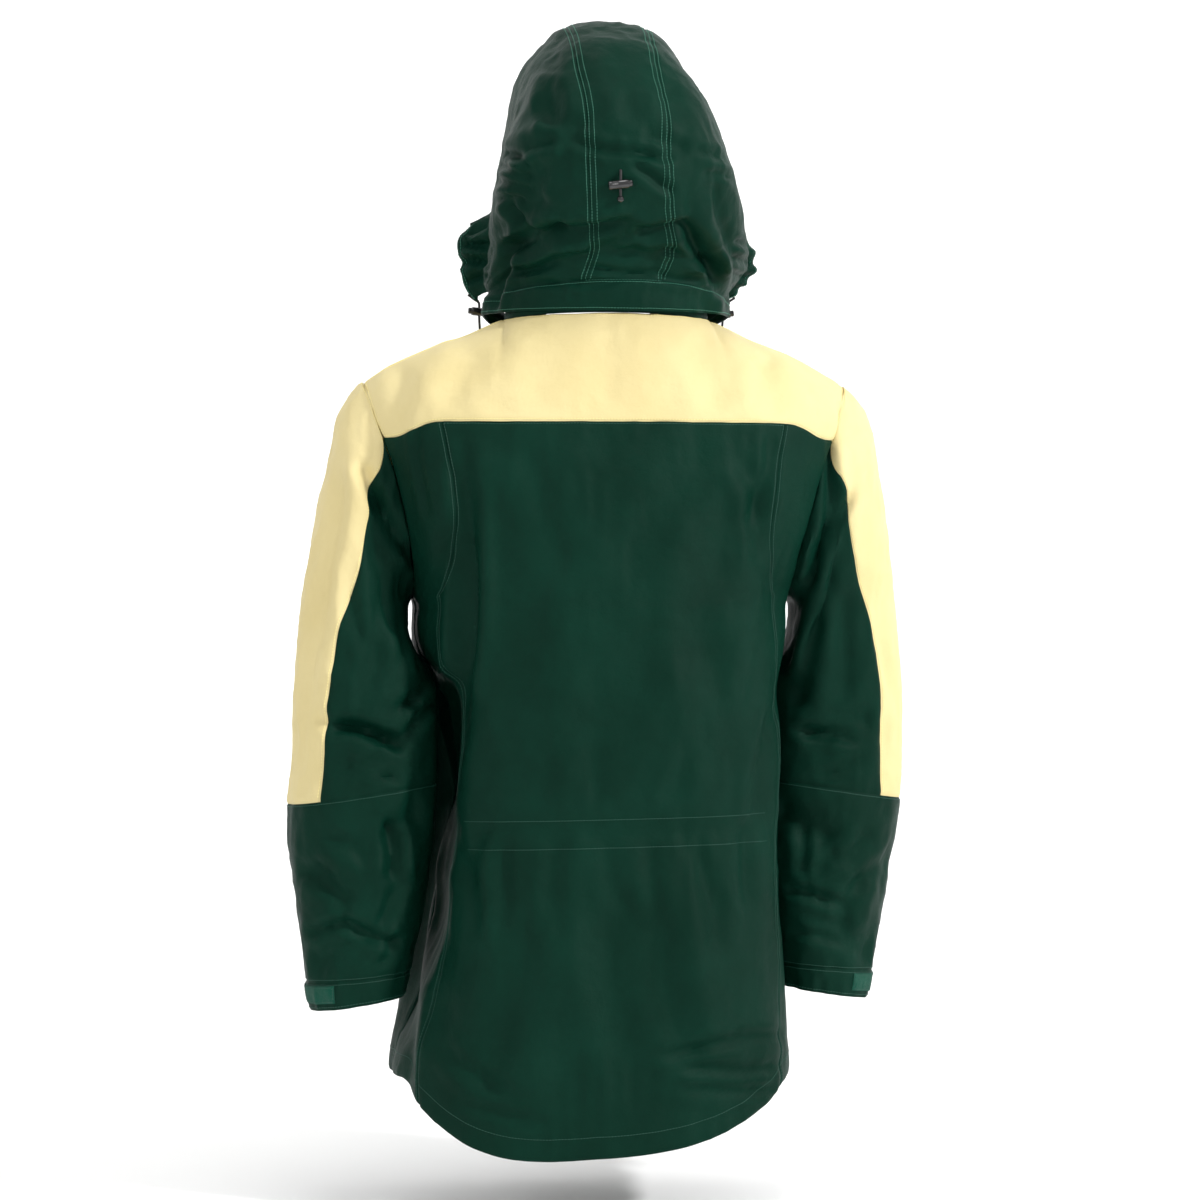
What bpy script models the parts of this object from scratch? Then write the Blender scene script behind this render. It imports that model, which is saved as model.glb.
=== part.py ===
"""Hooded three-in-one jacket, kept in its worn, hollow shape with the hood up.

Metres, +Z up. The front faces -Y and the wearer's left is +X. The origin is at the
back of the neck, where the wearer's shoulders carry the jacket.

Every panel is a cloth wall cut from one of four surfaces: the body, a sleeve, the hood
and the collar. A surface is a smooth blend through the rows of a short table, so that
two panels which share a seam share its points and its wall direction as well.
"""
import math

import bmesh
import bpy
import numpy as np
from mathutils import Matrix, Vector

# ---------------------------------------------------------------- driving dimensions
WALL = 0.0016            # shell cloth with its lining
FLEECE_WALL = 0.0028     # liner cuff
SEAM_TRIM = 0.0002       # each edge at a seam steps back by this much
CLEARANCE = 0.0004       # between two pieces that lie on each other
LEAN_X = -0.015          # sideways lean of the figure at the neck, none at LEAN_Z
LEAN_Z = -0.75

NECK_HALF_WIDTH = 0.105
NECK_BACK_Y = 0.082
NECK_BACK_Z = 0.0
NECK_SIDE_Z = -0.004
NECK_FRONT_Y = -0.105
NECK_FRONT_Z = -0.060
SHOULDER_SEAM_Y = 0.015
SHOULDER_TIP_X = 0.2475
NECK_SHARE = 0.30        # part of a body row that belongs to the neck edge
BODY_ROUNDNESS = 0.75    # below 1 makes a section boxier than an ellipse

ARMHOLE_TOP_Z = -0.0695
ARMHOLE_MID_Z = -0.190
UNDERARM_Z = -0.285
ARMHOLE_BACK_DEPTH = 0.066
ARMHOLE_FRONT_DEPTH = 0.070

YOKE_SEAM_Z = -0.112
YOKE_SEAM_DROP = 0.015   # the seam falls this much towards the armhole
YOKE_DROP_FROM = 0.55
YOKE_DROP_SPAN = 0.35
FRONT_YOKE_SEAM_Z = -0.150

SIDE_HEM_Z = -0.772
TAIL_DROP = 0.070        # the back hem hangs lower than the sides
TAIL_SPAN = 0.85
TAIL_FLATNESS = 2.3
TAIL_CORNER = 1.8
TAIL_TILT = 0.038        # the tail hangs lower on the wearer's left

ARM_GROOVE_WIDTH = 0.066
ARM_GROOVE_Y = {1: 0.028, -1: -0.032}     # where each sleeve lies against the body
ARM_SHIFT_Y = {1: 0.028, -1: -0.028}
SLEEVE_RADIUS = 0.070
SLEEVE_LEAVES_TOP = 1.8  # rows in which a sleeve leaves the body sideways
SLEEVE_LEAVES_UNDER = 1.6

HOOD_PIVOT_Y = -0.085
HOOD_PIVOT_Z = 0.006
HOOD_CORNER_DROP = 0.030
HOOD_CORNER_REACH = 0.075
HOOD_SEAM_X = 0.041
HOOD_LEG_END = 0.965
HOOD_BAND_LOW = -1.5
HOOD_BAND_TOP = 8.5
HOOD_EDGE_START = 93.0
HOOD_EDGE_END = 99.5

COLLAR_HEIGHT_BACK = 0.050
COLLAR_HEIGHT_FRONT = 0.062
COLLAR_LEAN = 0.94       # size of the top edge against the neck edge
COLLAR_GAP = 0.0004      # between the neck edge and the collar's lower edge

ZIP_TAPE_HALF_WIDTH = 0.011
ZIP_TAPE_WALL = 0.0010
ZIP_TAPE_DEPTH = WALL + 0.0015
ZIP_CHAIN_HALF_WIDTH = 0.0027
ZIP_CHAIN_WALL = 0.0014
ZIP_END_MARGIN = 0.004   # the zip stops this far inside the hem and the collar's top

SLIDER_SIZE = (0.0090, 0.0020, 0.0120)
SLIDER_DROP = 0.011      # centre of the slider below the collar's top
SLIDER_STAND_OFF = 0.0012
LUG_SIZE = (0.0012, 0.0042, 0.0032)
LUG_SPACING = 0.0038
PIN_RADIUS = 0.0007
EYE_BORE = 0.0012
EYE_RADIUS = 0.0021
EYE_WIDTH = 0.0044
PULL_SIZE = (0.0054, 0.0011, 0.0240)

CORD_RADIUS = 0.0013
LOCK_RADIUS = 0.0045
LOCK_LENGTH = 0.024
BUTTON_RADIUS = 0.0033
BUTTON_LENGTH = 0.0035
BEAD_RADIUS = 0.0034
BEAD_GAP = 0.0004
BACK_LOCK = (0.005, 0.122)       # place on the hood seen from behind: x and z
BACK_LOCK_TILT = 7.0
BACK_CORD_RISE = 0.0135          # the eyelet sits this far above the lock

FOREST = (0.006, 0.075, 0.050)
CREAM_YELLOW = (0.860, 0.740, 0.330)
FLEECE_GREEN = (0.004, 0.045, 0.032)
LOOP_GREEN = (0.004, 0.120, 0.075)
BLACK = (0.010, 0.010, 0.011)
STEEL = (0.55, 0.56, 0.57)


class Table:
    """Rows of named columns, read between rows by a curve that never overshoots."""

    def __init__(self, columns, rows):
        self.data = {name: np.array([row[i] for row in rows], float)
                     for i, name in enumerate(columns)}
        self.key = self.data[columns[0]]
        if self.key[0] > self.key[-1]:
            self.key = self.key[::-1]
            self.data = {name: values[::-1] for name, values in self.data.items()}

    def at(self, column, where):
        knots, values = self.key, self.data[column]
        where = np.clip(np.asarray(where, float), knots[0], knots[-1])
        step = np.diff(knots)
        slope = np.diff(values) / step
        product = slope[:-1] * slope[1:]
        total = slope[:-1] + slope[1:]
        inner = np.where(product > 0, 2 * product / np.where(total == 0, 1, total), 0)
        tangent = np.concatenate(([slope[0]], inner, [slope[-1]]))
        i = np.clip(np.searchsorted(knots, where, side="right") - 1, 0, len(step) - 1)
        t = (where - knots[i]) / step[i]
        return (values[i] * (1 + 2 * t) * (1 - t) ** 2
                + values[i + 1] * t ** 2 * (3 - 2 * t)
                + step[i] * t * (1 - t) * (tangent[i] * (1 - t) - tangent[i + 1] * t))


# Body sections by height: half width at the side or armhole, reach to back and front,
# and how deep the groove is where the sleeve lies against the side.
BODY = Table(("z", "half_width", "back", "front", "groove"), [
    (-0.060, 0.2475, 0.105, 0.105, 0.000),
    (-0.085, 0.2430, 0.117, 0.112, 0.000),
    (-0.112, 0.2350, 0.125, 0.121, 0.000),
    (-0.150, 0.2215, 0.134, 0.132, 0.000),
    (-0.190, 0.2100, 0.141, 0.141, 0.000),
    (-0.240, 0.1990, 0.146, 0.147, 0.000),
    (-0.285, 0.1930, 0.149, 0.151, 0.000),
    (-0.297, 0.1925, 0.149, 0.151, 0.004),
    (-0.315, 0.1925, 0.150, 0.152, 0.003),
    (-0.345, 0.1930, 0.150, 0.153, 0.010),
    (-0.400, 0.1930, 0.150, 0.153, 0.037),
    (-0.520, 0.1930, 0.144, 0.149, 0.037),
    (-0.600, 0.1950, 0.147, 0.151, 0.034),
    (-0.660, 0.1980, 0.150, 0.153, 0.022),
    (-0.720, 0.2010, 0.152, 0.154, 0.008),
    (-0.772, 0.2040, 0.153, 0.155, 0.000),
    (-0.850, 0.2050, 0.154, 0.155, 0.000),
])

# Ridge line of the shoulder by distance from the centre.
SHOULDER = Table(("x", "z"), [
    (0.000, 0.0030),
    (0.105, 0.0010),
    (0.122, -0.0047),
    (0.150, -0.0175),
    (0.165, -0.0226),
    (0.190, -0.0325),
    (0.205, -0.0392),
    (0.225, -0.0500),
    (0.2475, -0.0645),
])

# How far below level the cloth leaves the top edge, in degrees, by place in the row.
TOP_FALL = Table(("share", "back", "front"), [
    (0.00, 52.0, 58.0),
    (0.15, 38.0, 42.0),
    (0.30, 14.0, -6.0),
    (0.60, 10.0, -8.0),
    (0.90, 14.0, -10.0),
    (1.00, 16.0, -12.0),
])

# Where the side-back seam runs, as a share of the row from centre to side.
SIDE_SEAM = Table(("v", "share"), [
    (1.00, 0.560),
    (1.12, 0.600),
    (1.25, 0.690),
    (1.50, 0.720),
    (2.00, 0.660),
])

# Sleeve rings from the armhole to the cuff: outer and inner line, depth, the edge of the
# yellow panel as an angle from the outer line, and how much further out the right one is.
SLEEVE = Table(("s", "x_out", "z_out", "x_in", "z_in", "half_depth", "yellow", "right"), [
    (0, 0.2475, -0.0645, 0.193, -0.285, 0.068, 66, 0.000),
    (1, 0.2655, -0.0960, 0.200, -0.306, 0.070, 74, 0.003),
    (2, 0.2795, -0.1420, 0.197, -0.327, 0.071, 82, 0.005),
    (3, 0.2915, -0.2000, 0.189, -0.345, 0.071, 79, 0.006),
    (4, 0.3005, -0.2550, 0.179, -0.360, 0.069, 71, 0.007),
    (5, 0.3070, -0.3150, 0.170, -0.378, 0.067, 62, 0.009),
    (6, 0.3115, -0.3900, 0.166, -0.418, 0.066, 57, 0.011),
    (7, 0.3125, -0.4550, 0.166, -0.462, 0.066, 55, 0.011),
    (8, 0.3155, -0.4960, 0.167, -0.474, 0.066, 55, 0.008),
    (9, 0.3150, -0.5320, 0.168, -0.522, 0.065, 55, 0.005),
    (10, 0.3095, -0.5700, 0.172, -0.562, 0.062, 55, 0.004),
    (11, 0.3045, -0.6100, 0.177, -0.602, 0.059, 55, 0.003),
    (12, 0.2980, -0.6480, 0.184, -0.640, 0.055, 55, 0.003),
    (13, 0.2945, -0.6750, 0.189, -0.666, 0.052, 55, 0.003),
    (14, 0.2890, -0.7040, 0.194, -0.690, 0.050, 55, 0.003),
])
ELBOW = 8
CUFF_TOP = 13
CUFF_END = 14

# Hood sections, each an arch in a plane through the front of the neck: the plane's
# angle above level, the arch's reach at its crown, its half width, how square the arch
# is, how far its legs flare out near the neck, and its half width at the legs' ends.
HOOD = Table(("angle", "reach", "half_width", "squareness", "flare", "corner"), [
    (-4.0, 0.172, 0.138, 2.3, 0.000, 0.078),
    (8.5, 0.178, 0.136, 2.3, 0.000, 0.078),
    (14.0, 0.187, 0.131, 2.4, 0.000, 0.078),
    (18.0, 0.206, 0.128, 2.5, 0.000, 0.078),
    (22.0, 0.238, 0.128, 2.6, 0.000, 0.079),
    (29.0, 0.266, 0.132, 2.8, 0.000, 0.080),
    (37.0, 0.290, 0.136, 3.0, 0.000, 0.082),
    (48.0, 0.309, 0.134, 2.7, 0.000, 0.085),
    (58.0, 0.317, 0.122, 2.7, 0.002, 0.089),
    (68.0, 0.315, 0.115, 2.8, 0.008, 0.093),
    (78.0, 0.305, 0.114, 2.9, 0.018, 0.097),
    (87.0, 0.285, 0.115, 2.9, 0.031, 0.100),
    (93.0, 0.268, 0.116, 2.9, 0.040, 0.101),
    (99.5, 0.250, 0.117, 2.9, 0.043, 0.102),
])
HOOD_FLARE_REACH = 0.068
HOOD_FLARE_WIDTH = 0.038
HOOD_FLARE_FLATNESS = 4

# Sideways shift of the hood by height, on top of the figure's lean.
HOOD_SWAY = Table(("z", "x"), [
    (-0.02, -0.001),
    (0.02, -0.006),
    (0.04, -0.010),
    (0.06, -0.015),
    (0.09, -0.009),
    (0.14, -0.004),
    (0.20, -0.001),
    (0.25, 0.006),
    (0.30, 0.007),
])

FOLD_COLUMNS = ("x1", "z1", "x2", "z2", "width", "depth")


def folds(*rows):
    """Creases as named values: a straight line, its half width and its depth."""
    return [dict(zip(FOLD_COLUMNS, row)) for row in rows]


# Largest folds of the body, seen from behind and from the front.
BACK_FOLDS = folds(
    (0.166, -0.215, 0.158, -0.480, 0.016, 0.010),
    (0.158, -0.480, 0.170, -0.720, 0.017, 0.009),
    (-0.178, -0.200, -0.174, -0.400, 0.015, 0.006),
    (0.130, -0.170, 0.085, -0.330, 0.028, 0.005),
    (-0.120, -0.190, -0.070, -0.360, 0.030, 0.005),
    (-0.160, -0.519, 0.150, -0.519, 0.012, 0.003),
    (0.060, -0.600, 0.085, -0.790, 0.032, -0.005),
    (-0.070, -0.570, -0.095, -0.780, 0.032, -0.005),
    (-0.010, -0.580, 0.000, -0.740, 0.028, 0.004))
FRONT_FOLDS = folds(
    (0.160, -0.230, 0.110, -0.360, 0.024, 0.008),
    (-0.155, -0.235, -0.100, -0.380, 0.026, 0.008),
    (0.090, -0.480, 0.120, -0.720, 0.034, 0.007),
    (-0.100, -0.460, -0.085, -0.700, 0.032, 0.007),
    (0.150, -0.420, 0.170, -0.640, 0.020, 0.006))

# Largest folds of a sleeve, over arc length from the outer line and height.
SLEEVE_FOLDS = folds(
    (0.100, -0.170, 0.150, -0.330, 0.015, 0.008),
    (0.080, -0.410, 0.145, -0.430, 0.014, 0.008),
    (0.150, -0.395, 0.200, -0.345, 0.015, 0.007),
    (0.110, -0.540, 0.175, -0.505, 0.017, 0.009),
    (0.040, -0.655, 0.120, -0.625, 0.014, 0.006),
    (-0.110, -0.410, -0.050, -0.440, 0.016, 0.006),
    (-0.150, -0.480, -0.080, -0.520, 0.017, 0.007),
    (-0.120, -0.620, -0.040, -0.650, 0.014, 0.005),
    (0.030, -0.560, 0.090, -0.580, 0.016, 0.005))

# Largest folds of the hood, seen from behind.
HOOD_FOLDS = folds(
    (0.085, 0.205, 0.045, 0.172, 0.014, 0.006),
    (-0.018, 0.168, -0.062, 0.158, 0.012, 0.005),
    (-0.085, 0.130, -0.115, 0.060, 0.016, 0.008),
    (0.085, 0.150, 0.105, 0.070, 0.016, 0.008),
    (0.060, 0.290, 0.075, 0.240, 0.014, 0.004))


def smooth_step(t):
    t = np.clip(t, 0.0, 1.0)
    return t * t * (3 - 2 * t)


def between(start, end, share):
    return start + (end - start) * share


def signed_power(value, power):
    return np.sign(value) * np.abs(value) ** power


def fold_depth(creases, across, height):
    """Sum of soft creases, each a bell around a line that fades at both ends."""
    total = np.zeros(np.broadcast(across, height).shape)
    for fold in creases:
        run = np.array((fold["x2"] - fold["x1"], fold["z2"] - fold["z1"]))
        length = math.hypot(*run)
        along = ((across - fold["x1"]) * run[0] + (height - fold["z1"]) * run[1]) / length
        beside = ((across - fold["x1"]) * run[1] - (height - fold["z1"]) * run[0]) / length
        share = along / length
        ends = smooth_step(share * 4 + 0.5) * smooth_step((1 - share) * 4 + 0.5)
        total = total + fold["depth"] * ends * np.exp(-(beside / fold["width"]) ** 2)
    return total


def normals_of(surface, u, v, flip, step=0.002):
    """Unit normals of a surface, from small differences along u and v."""
    along_u = surface(u + step, v) - surface(u - step, v)
    along_v = surface(u, v + step) - surface(u, v - step)
    normal = np.cross(along_u, along_v) * flip
    return normal / np.maximum(np.linalg.norm(normal, axis=-1, keepdims=True), 1e-12)


def with_folds(surface, flip, depth_of):
    """The same surface, pressed in along its normal by depth_of(points)."""
    def folded(u, v):
        points = surface(u, v)
        return points - normals_of(surface, u, v, flip) * depth_of(points)[..., None]
    return folded


# ------------------------------------------------------------------------------ body
def armhole_reach(z, half):
    """Distance of the armhole edge from the shoulder line, back (1) or front (-1)."""
    depth = ARMHOLE_BACK_DEPTH if half > 0 else ARMHOLE_FRONT_DEPTH
    above = (z - ARMHOLE_MID_Z) / (ARMHOLE_TOP_Z - ARMHOLE_MID_Z)
    below = (ARMHOLE_MID_Z - z) / (ARMHOLE_MID_Z - UNDERARM_Z)
    share = np.clip(np.where(z > ARMHOLE_MID_Z, above, below), 0, 1)
    seam = np.where(z > ARMHOLE_MID_Z, half * SHOULDER_SEAM_Y * share ** 2, 0)
    return depth * np.sqrt(1 - share ** 2) + seam


def body_section(half, share, z):
    """Point of a level section, from the centre (share 0) to the side (share 1)."""
    depth = BODY.at("back" if half > 0 else "front", z)
    reach = armhole_reach(z, half)
    turn = np.arccos(np.clip(reach / depth, 0, 1) ** (1 / BODY_ROUNDNESS))
    angle = np.abs(share) * turn
    x = BODY.at("half_width", z) * signed_power(np.sin(angle) / np.sin(turn), BODY_ROUNDNESS)
    y = half * depth * signed_power(np.cos(angle), BODY_ROUNDNESS)
    for side in (1, -1):
        bell = np.exp(-((y - ARM_GROOVE_Y[side]) / ARM_GROOVE_WIDTH) ** 2)
        x = x - np.where(share * side > 0, BODY.at("groove", z) * bell, 0) * smooth_step(
            np.abs(share) * 2)
    return np.stack([x * np.sign(share), y, z * np.ones_like(x)], axis=-1)


def yoke_seam_height(half, share):
    if half < 0:
        return FRONT_YOKE_SEAM_Z + 0 * share
    drop = smooth_step((np.abs(share) - YOKE_DROP_FROM) / YOKE_DROP_SPAN)
    return YOKE_SEAM_Z - YOKE_SEAM_DROP * drop


def hem_height(half, share):
    if half < 0:
        return SIDE_HEM_Z + 0 * share
    inward = np.clip(np.abs(share) / TAIL_SPAN, 0, 1)
    tilt = TAIL_TILT * share * (1 - inward)
    return SIDE_HEM_Z - TAIL_DROP * (1 - inward ** TAIL_FLATNESS) ** TAIL_CORNER - tilt


def top_edge(half, share):
    """Neck edge near the centre, then the shoulder seam out to the armhole."""
    size = np.abs(share)
    turn = np.clip(size / NECK_SHARE, 0, 1) * math.pi / 2
    neck_y = NECK_BACK_Y if half > 0 else NECK_FRONT_Y
    neck_z = NECK_BACK_Z if half > 0 else NECK_FRONT_Z
    neck = np.stack([
        NECK_HALF_WIDTH * np.sin(turn),
        SHOULDER_SEAM_Y + (neck_y - SHOULDER_SEAM_Y) * np.cos(turn),
        NECK_SIDE_Z + (neck_z - NECK_SIDE_Z) * np.cos(turn) ** 1.3], axis=-1)
    out = np.clip((size - NECK_SHARE) / (1 - NECK_SHARE), 0, 1)
    x = NECK_HALF_WIDTH + (SHOULDER_TIP_X - NECK_HALF_WIDTH) * out
    ridge = np.stack([x, SHOULDER_SEAM_Y + 0 * x, SHOULDER.at("z", x) - 0.005], axis=-1)
    point = np.where((size < NECK_SHARE)[..., None], neck, ridge)
    point[..., 0] *= np.sign(share)
    return point


def body_base(half):
    """Body surface over share (-1 to 1) and level: 0 top edge, 1 yoke seam, 2 hem."""
    def surface(share, level):
        share, level = np.broadcast_arrays(np.asarray(share, float), level)
        seam_z = yoke_seam_height(half, share)
        down = np.maximum(level - 1, 0)
        z = seam_z + (hem_height(half, share) - seam_z) * down
        lower = body_section(half, share, z)
        start = top_edge(half, share)
        end = body_section(half, share, seam_z)
        below = body_section(half, share, seam_z - 0.004)
        fall = np.radians(TOP_FALL.at("back" if half > 0 else "front", np.abs(share)))
        leave = np.stack([0 * fall, half * np.cos(fall), -np.sin(fall)], axis=-1)
        arrive = (below - end) / np.linalg.norm(below - end, axis=-1, keepdims=True)
        reach = 1.15 * np.linalg.norm(end - start, axis=-1, keepdims=True)
        t = np.minimum(level, 1)[..., None]
        upper = (start * (1 + 2 * t) * (1 - t) ** 2 + end * t ** 2 * (3 - 2 * t)
                 + reach * (leave * t * (1 - t) ** 2 - arrive * t ** 2 * (1 - t)))
        return np.where((level < 1)[..., None], upper, lower)
    return surface


BODY_FLIP = {1: 1, -1: -1}
BODY_SURFACE = {
    1: with_folds(body_base(1), BODY_FLIP[1],
                  lambda p: fold_depth(BACK_FOLDS, p[..., 0], p[..., 2])),
    -1: with_folds(body_base(-1), BODY_FLIP[-1],
                   lambda p: fold_depth(FRONT_FOLDS, p[..., 0], p[..., 2])),
}


def underarm_level(half):
    """Level at which the body's outer edge stops being armhole and becomes side seam."""
    seam_z = float(yoke_seam_height(half, np.array(1.0)))
    return 1 + (seam_z - UNDERARM_Z) / (seam_z - SIDE_HEM_Z)


YOKE_ROWS = 5
ARMHOLE_ROWS = 5
LOWER_ROWS = 12


def yoke_levels():
    return np.linspace(0, 1, YOKE_ROWS + 1)


def armhole_levels(half):
    return np.linspace(1, underarm_level(half), ARMHOLE_ROWS + 1)


def lower_levels(half):
    rest = np.linspace(underarm_level(half), 2, LOWER_ROWS + 1)
    return np.concatenate([armhole_levels(half), rest[1:]])


# ---------------------------------------------------------------------------- sleeve
def armhole_angles(half):
    """Angle of each armhole point on the sleeve's first ring, 0 at the top."""
    levels = np.concatenate([yoke_levels(), armhole_levels(half)[1:]])
    points = BODY_SURFACE[half](np.ones_like(levels), levels)
    arc = np.concatenate([[0], np.cumsum(np.linalg.norm(np.diff(points, axis=0), axis=1))])
    return levels, 180 * arc / arc[-1]


ARMHOLE_LOOKUP = {half: armhole_angles(half) for half in (1, -1)}


def armhole_point(side, angle):
    """Armhole edge at an angle: positive on the back, negative on the front."""
    result = np.zeros(angle.shape + (3,))
    for half in (1, -1):
        levels, angles = ARMHOLE_LOOKUP[half]
        level = np.interp(np.abs(angle), angles, levels)
        point = BODY_SURFACE[half](np.full_like(level, float(side)), level)
        here = (np.where(angle >= 0, 1, -1) == half)
        result = np.where(here[..., None], point, result)
    return result


def sleeve_base(side):
    """Sleeve surface over angle (degrees from the outer line, + at the back) and row."""
    def surface(angle, row):
        angle, row = np.broadcast_arrays(np.asarray(angle, float), row)
        turn = np.radians(angle)
        extra = SLEEVE.at("right", row) if side < 0 else 0
        middle_x = (SLEEVE.at("x_out", row) + SLEEVE.at("x_in", row)) / 2 + extra
        middle_z = (SLEEVE.at("z_out", row) + SLEEVE.at("z_in", row)) / 2
        reach_x = (SLEEVE.at("x_out", row) - SLEEVE.at("x_in", row)) / 2
        reach_z = SLEEVE.at("z_out", row) - middle_z
        settle = smooth_step(row / 6)
        out = signed_power(np.cos(turn), 0.92)
        back = signed_power(np.sin(turn), 0.92)
        ring = np.stack([
            side * (middle_x + reach_x * out),
            ARM_SHIFT_Y[side] * settle + SLEEVE.at("half_depth", row) * back,
            middle_z + reach_z * out], axis=-1)
        settled = smooth_step(row / 2.5)
        leaves = between(SLEEVE_LEAVES_TOP, SLEEVE_LEAVES_UNDER, (1 - np.cos(turn)) / 2)
        blend = np.stack([smooth_step(row / leaves), settled, settled], axis=-1)
        wrapped = (angle + 180) % 360 - 180
        return armhole_point(side, wrapped) * (1 - blend) + ring * blend
    return surface


def sleeve_surface(side):
    base = sleeve_base(side)

    def folded(angle, row):
        points = base(angle, row)
        wrapped = (np.asarray(angle, float) + 180) % 360 - 180
        arc = np.radians(wrapped) * SLEEVE_RADIUS
        depth = fold_depth(SLEEVE_FOLDS, arc, points[..., 2]) * smooth_step((row - 0.5) / 1.5)
        return points - normals_of(base, angle, row, -side) * depth[..., None]
    return folded


# ------------------------------------------------------------------------------ hood
def hood_base(across, angle):
    """Hood surface over across (-1 to 1, left leg to right leg) and plane angle."""
    across, angle = np.broadcast_arrays(np.asarray(across, float), angle)
    turn = across * math.pi / 2
    power = 2 / HOOD.at("squareness", angle)
    radius = HOOD.at("reach", angle) * signed_power(np.cos(turn), power)
    near = smooth_step(radius / HOOD_CORNER_REACH)
    full = HOOD.at("half_width", angle)
    width = between(HOOD.at("corner", angle), full, near)
    tilt = np.radians(angle)
    off = np.abs(radius - HOOD_FLARE_REACH) / HOOD_FLARE_WIDTH
    bell = np.exp(-off ** HOOD_FLARE_FLATNESS)
    flare = HOOD.at("flare", angle) * bell * np.sin(turn) ** 2 * np.sign(across)
    z = HOOD_PIVOT_Z - HOOD_CORNER_DROP * (1 - near) + radius * np.sin(tilt)
    return np.stack([
        width * signed_power(np.sin(turn), power) + flare + HOOD_SWAY.at("x", z),
        HOOD_PIVOT_Y + radius * np.cos(tilt), z], axis=-1)


HOOD_SURFACE = with_folds(hood_base, -1, lambda p: fold_depth(HOOD_FOLDS, p[..., 0], p[..., 2]))


def hood_seam_across(angle):
    """Place across the arch where the panel seam runs, at a fixed distance from centre."""
    share = HOOD_SEAM_X / HOOD.at("half_width", angle)
    return np.arcsin(share ** (HOOD.at("squareness", angle) / 2)) * 2 / math.pi


# ---------------------------------------------------------------------------- collar
def collar_surface(turn, rise):
    """Collar over turn (-1 to 1 around the neck, 0 at the back) and rise (0 to 1)."""
    turn, rise = np.broadcast_arrays(np.asarray(turn, float), rise)
    share = np.where(np.abs(turn) < 0.5, np.abs(turn) * 2, (1 - np.abs(turn)) * 2)
    back = top_edge(1, share * NECK_SHARE)
    front = top_edge(-1, share * NECK_SHARE)
    edge = np.where((np.abs(turn) < 0.5)[..., None], back, front)
    forward = smooth_step((np.abs(turn) - 0.5) * 2)
    size = 1 - (1 - COLLAR_LEAN) * rise
    height = COLLAR_HEIGHT_BACK + (COLLAR_HEIGHT_FRONT - COLLAR_HEIGHT_BACK) * forward
    return np.stack([
        edge[..., 0] * size * np.sign(turn),
        edge[..., 1] * size,
        edge[..., 2] + COLLAR_GAP + height * rise], axis=-1)


# --------------------------------------------------------------------- shell building
def lean(points):
    """Sideways lean of the whole figure, growing with height."""
    moved = np.array(points, float)
    moved[..., 0] += LEAN_X * (1 - moved[..., 2] / LEAN_Z)
    return moved


def make_material(name, colour, roughness, metallic=0.0):
    material = bpy.data.materials.new(name)
    material.use_nodes = True
    shader = material.node_tree.nodes["Principled BSDF"]
    shader.inputs["Base Color"].default_value = (*colour, 1.0)
    shader.inputs["Roughness"].default_value = roughness
    shader.inputs["Metallic"].default_value = metallic
    return material


def add_mesh_object(name, vertices, faces, material, smooth=True):
    mesh = bpy.data.meshes.new(name)
    mesh.from_pydata([tuple(p) for p in vertices], [], faces)
    shape = bmesh.new()
    shape.from_mesh(mesh)
    bmesh.ops.recalc_face_normals(shape, faces=shape.faces)
    if shape.calc_volume(signed=True) < 0:
        bmesh.ops.reverse_faces(shape, faces=shape.faces)
    shape.to_mesh(mesh)
    shape.free()
    if smooth:
        mesh.shade_smooth()
        mesh.set_sharp_from_angle(angle=math.radians(50))
    obj = bpy.data.objects.new(name, mesh)
    obj.data.materials.append(material)
    bpy.data.collections["three_in_one_jacket"].objects.link(obj)
    return obj


def step_back(points, axis, at_end, amount):
    """Move one edge of a grid of points inwards along the grid by a set distance."""
    edge = [slice(None)] * 3
    inner = [slice(None)] * 3
    edge[axis] = -1 if at_end else 0
    inner[axis] = -2 if at_end else 1
    way = points[tuple(inner)] - points[tuple(edge)]
    length = np.linalg.norm(way, axis=-1, keepdims=True)
    points[tuple(edge)] += way / length * amount


def armhole_wall(side, angles, points, normals):
    """Wall direction of a sleeve's first ring, turned to lie along the body's own wall."""
    edge = np.zeros_like(normals[:, 0])
    for half in (1, -1):
        wrapped = (angles + 180) % 360 - 180
        level = np.interp(np.abs(wrapped), ARMHOLE_LOOKUP[half][1], ARMHOLE_LOOKUP[half][0])
        share = np.full_like(level, float(side))
        normal = normals_of(BODY_SURFACE[half], share, level, BODY_FLIP[half])
        here = np.where(wrapped >= 0, 1, -1) == half
        edge = np.where(here[..., None], normal, edge)
    seam = np.gradient(points[:, 0], axis=0)
    away = np.array((0.0, 0.0, ARMHOLE_MID_Z)) - points[:, 0]
    away[:, 0] = 0.0
    limit = np.cross(seam, edge)
    limit /= np.linalg.norm(limit, axis=-1, keepdims=True)
    limit *= np.sign(np.sum(limit * away, axis=-1, keepdims=True))
    inward = -normals[:, 0]
    short = np.minimum(np.sum(inward * limit, axis=-1, keepdims=True), 0)
    inward = inward - short * limit
    normals[:, 0] = -inward / np.linalg.norm(inward, axis=-1, keepdims=True)


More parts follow.
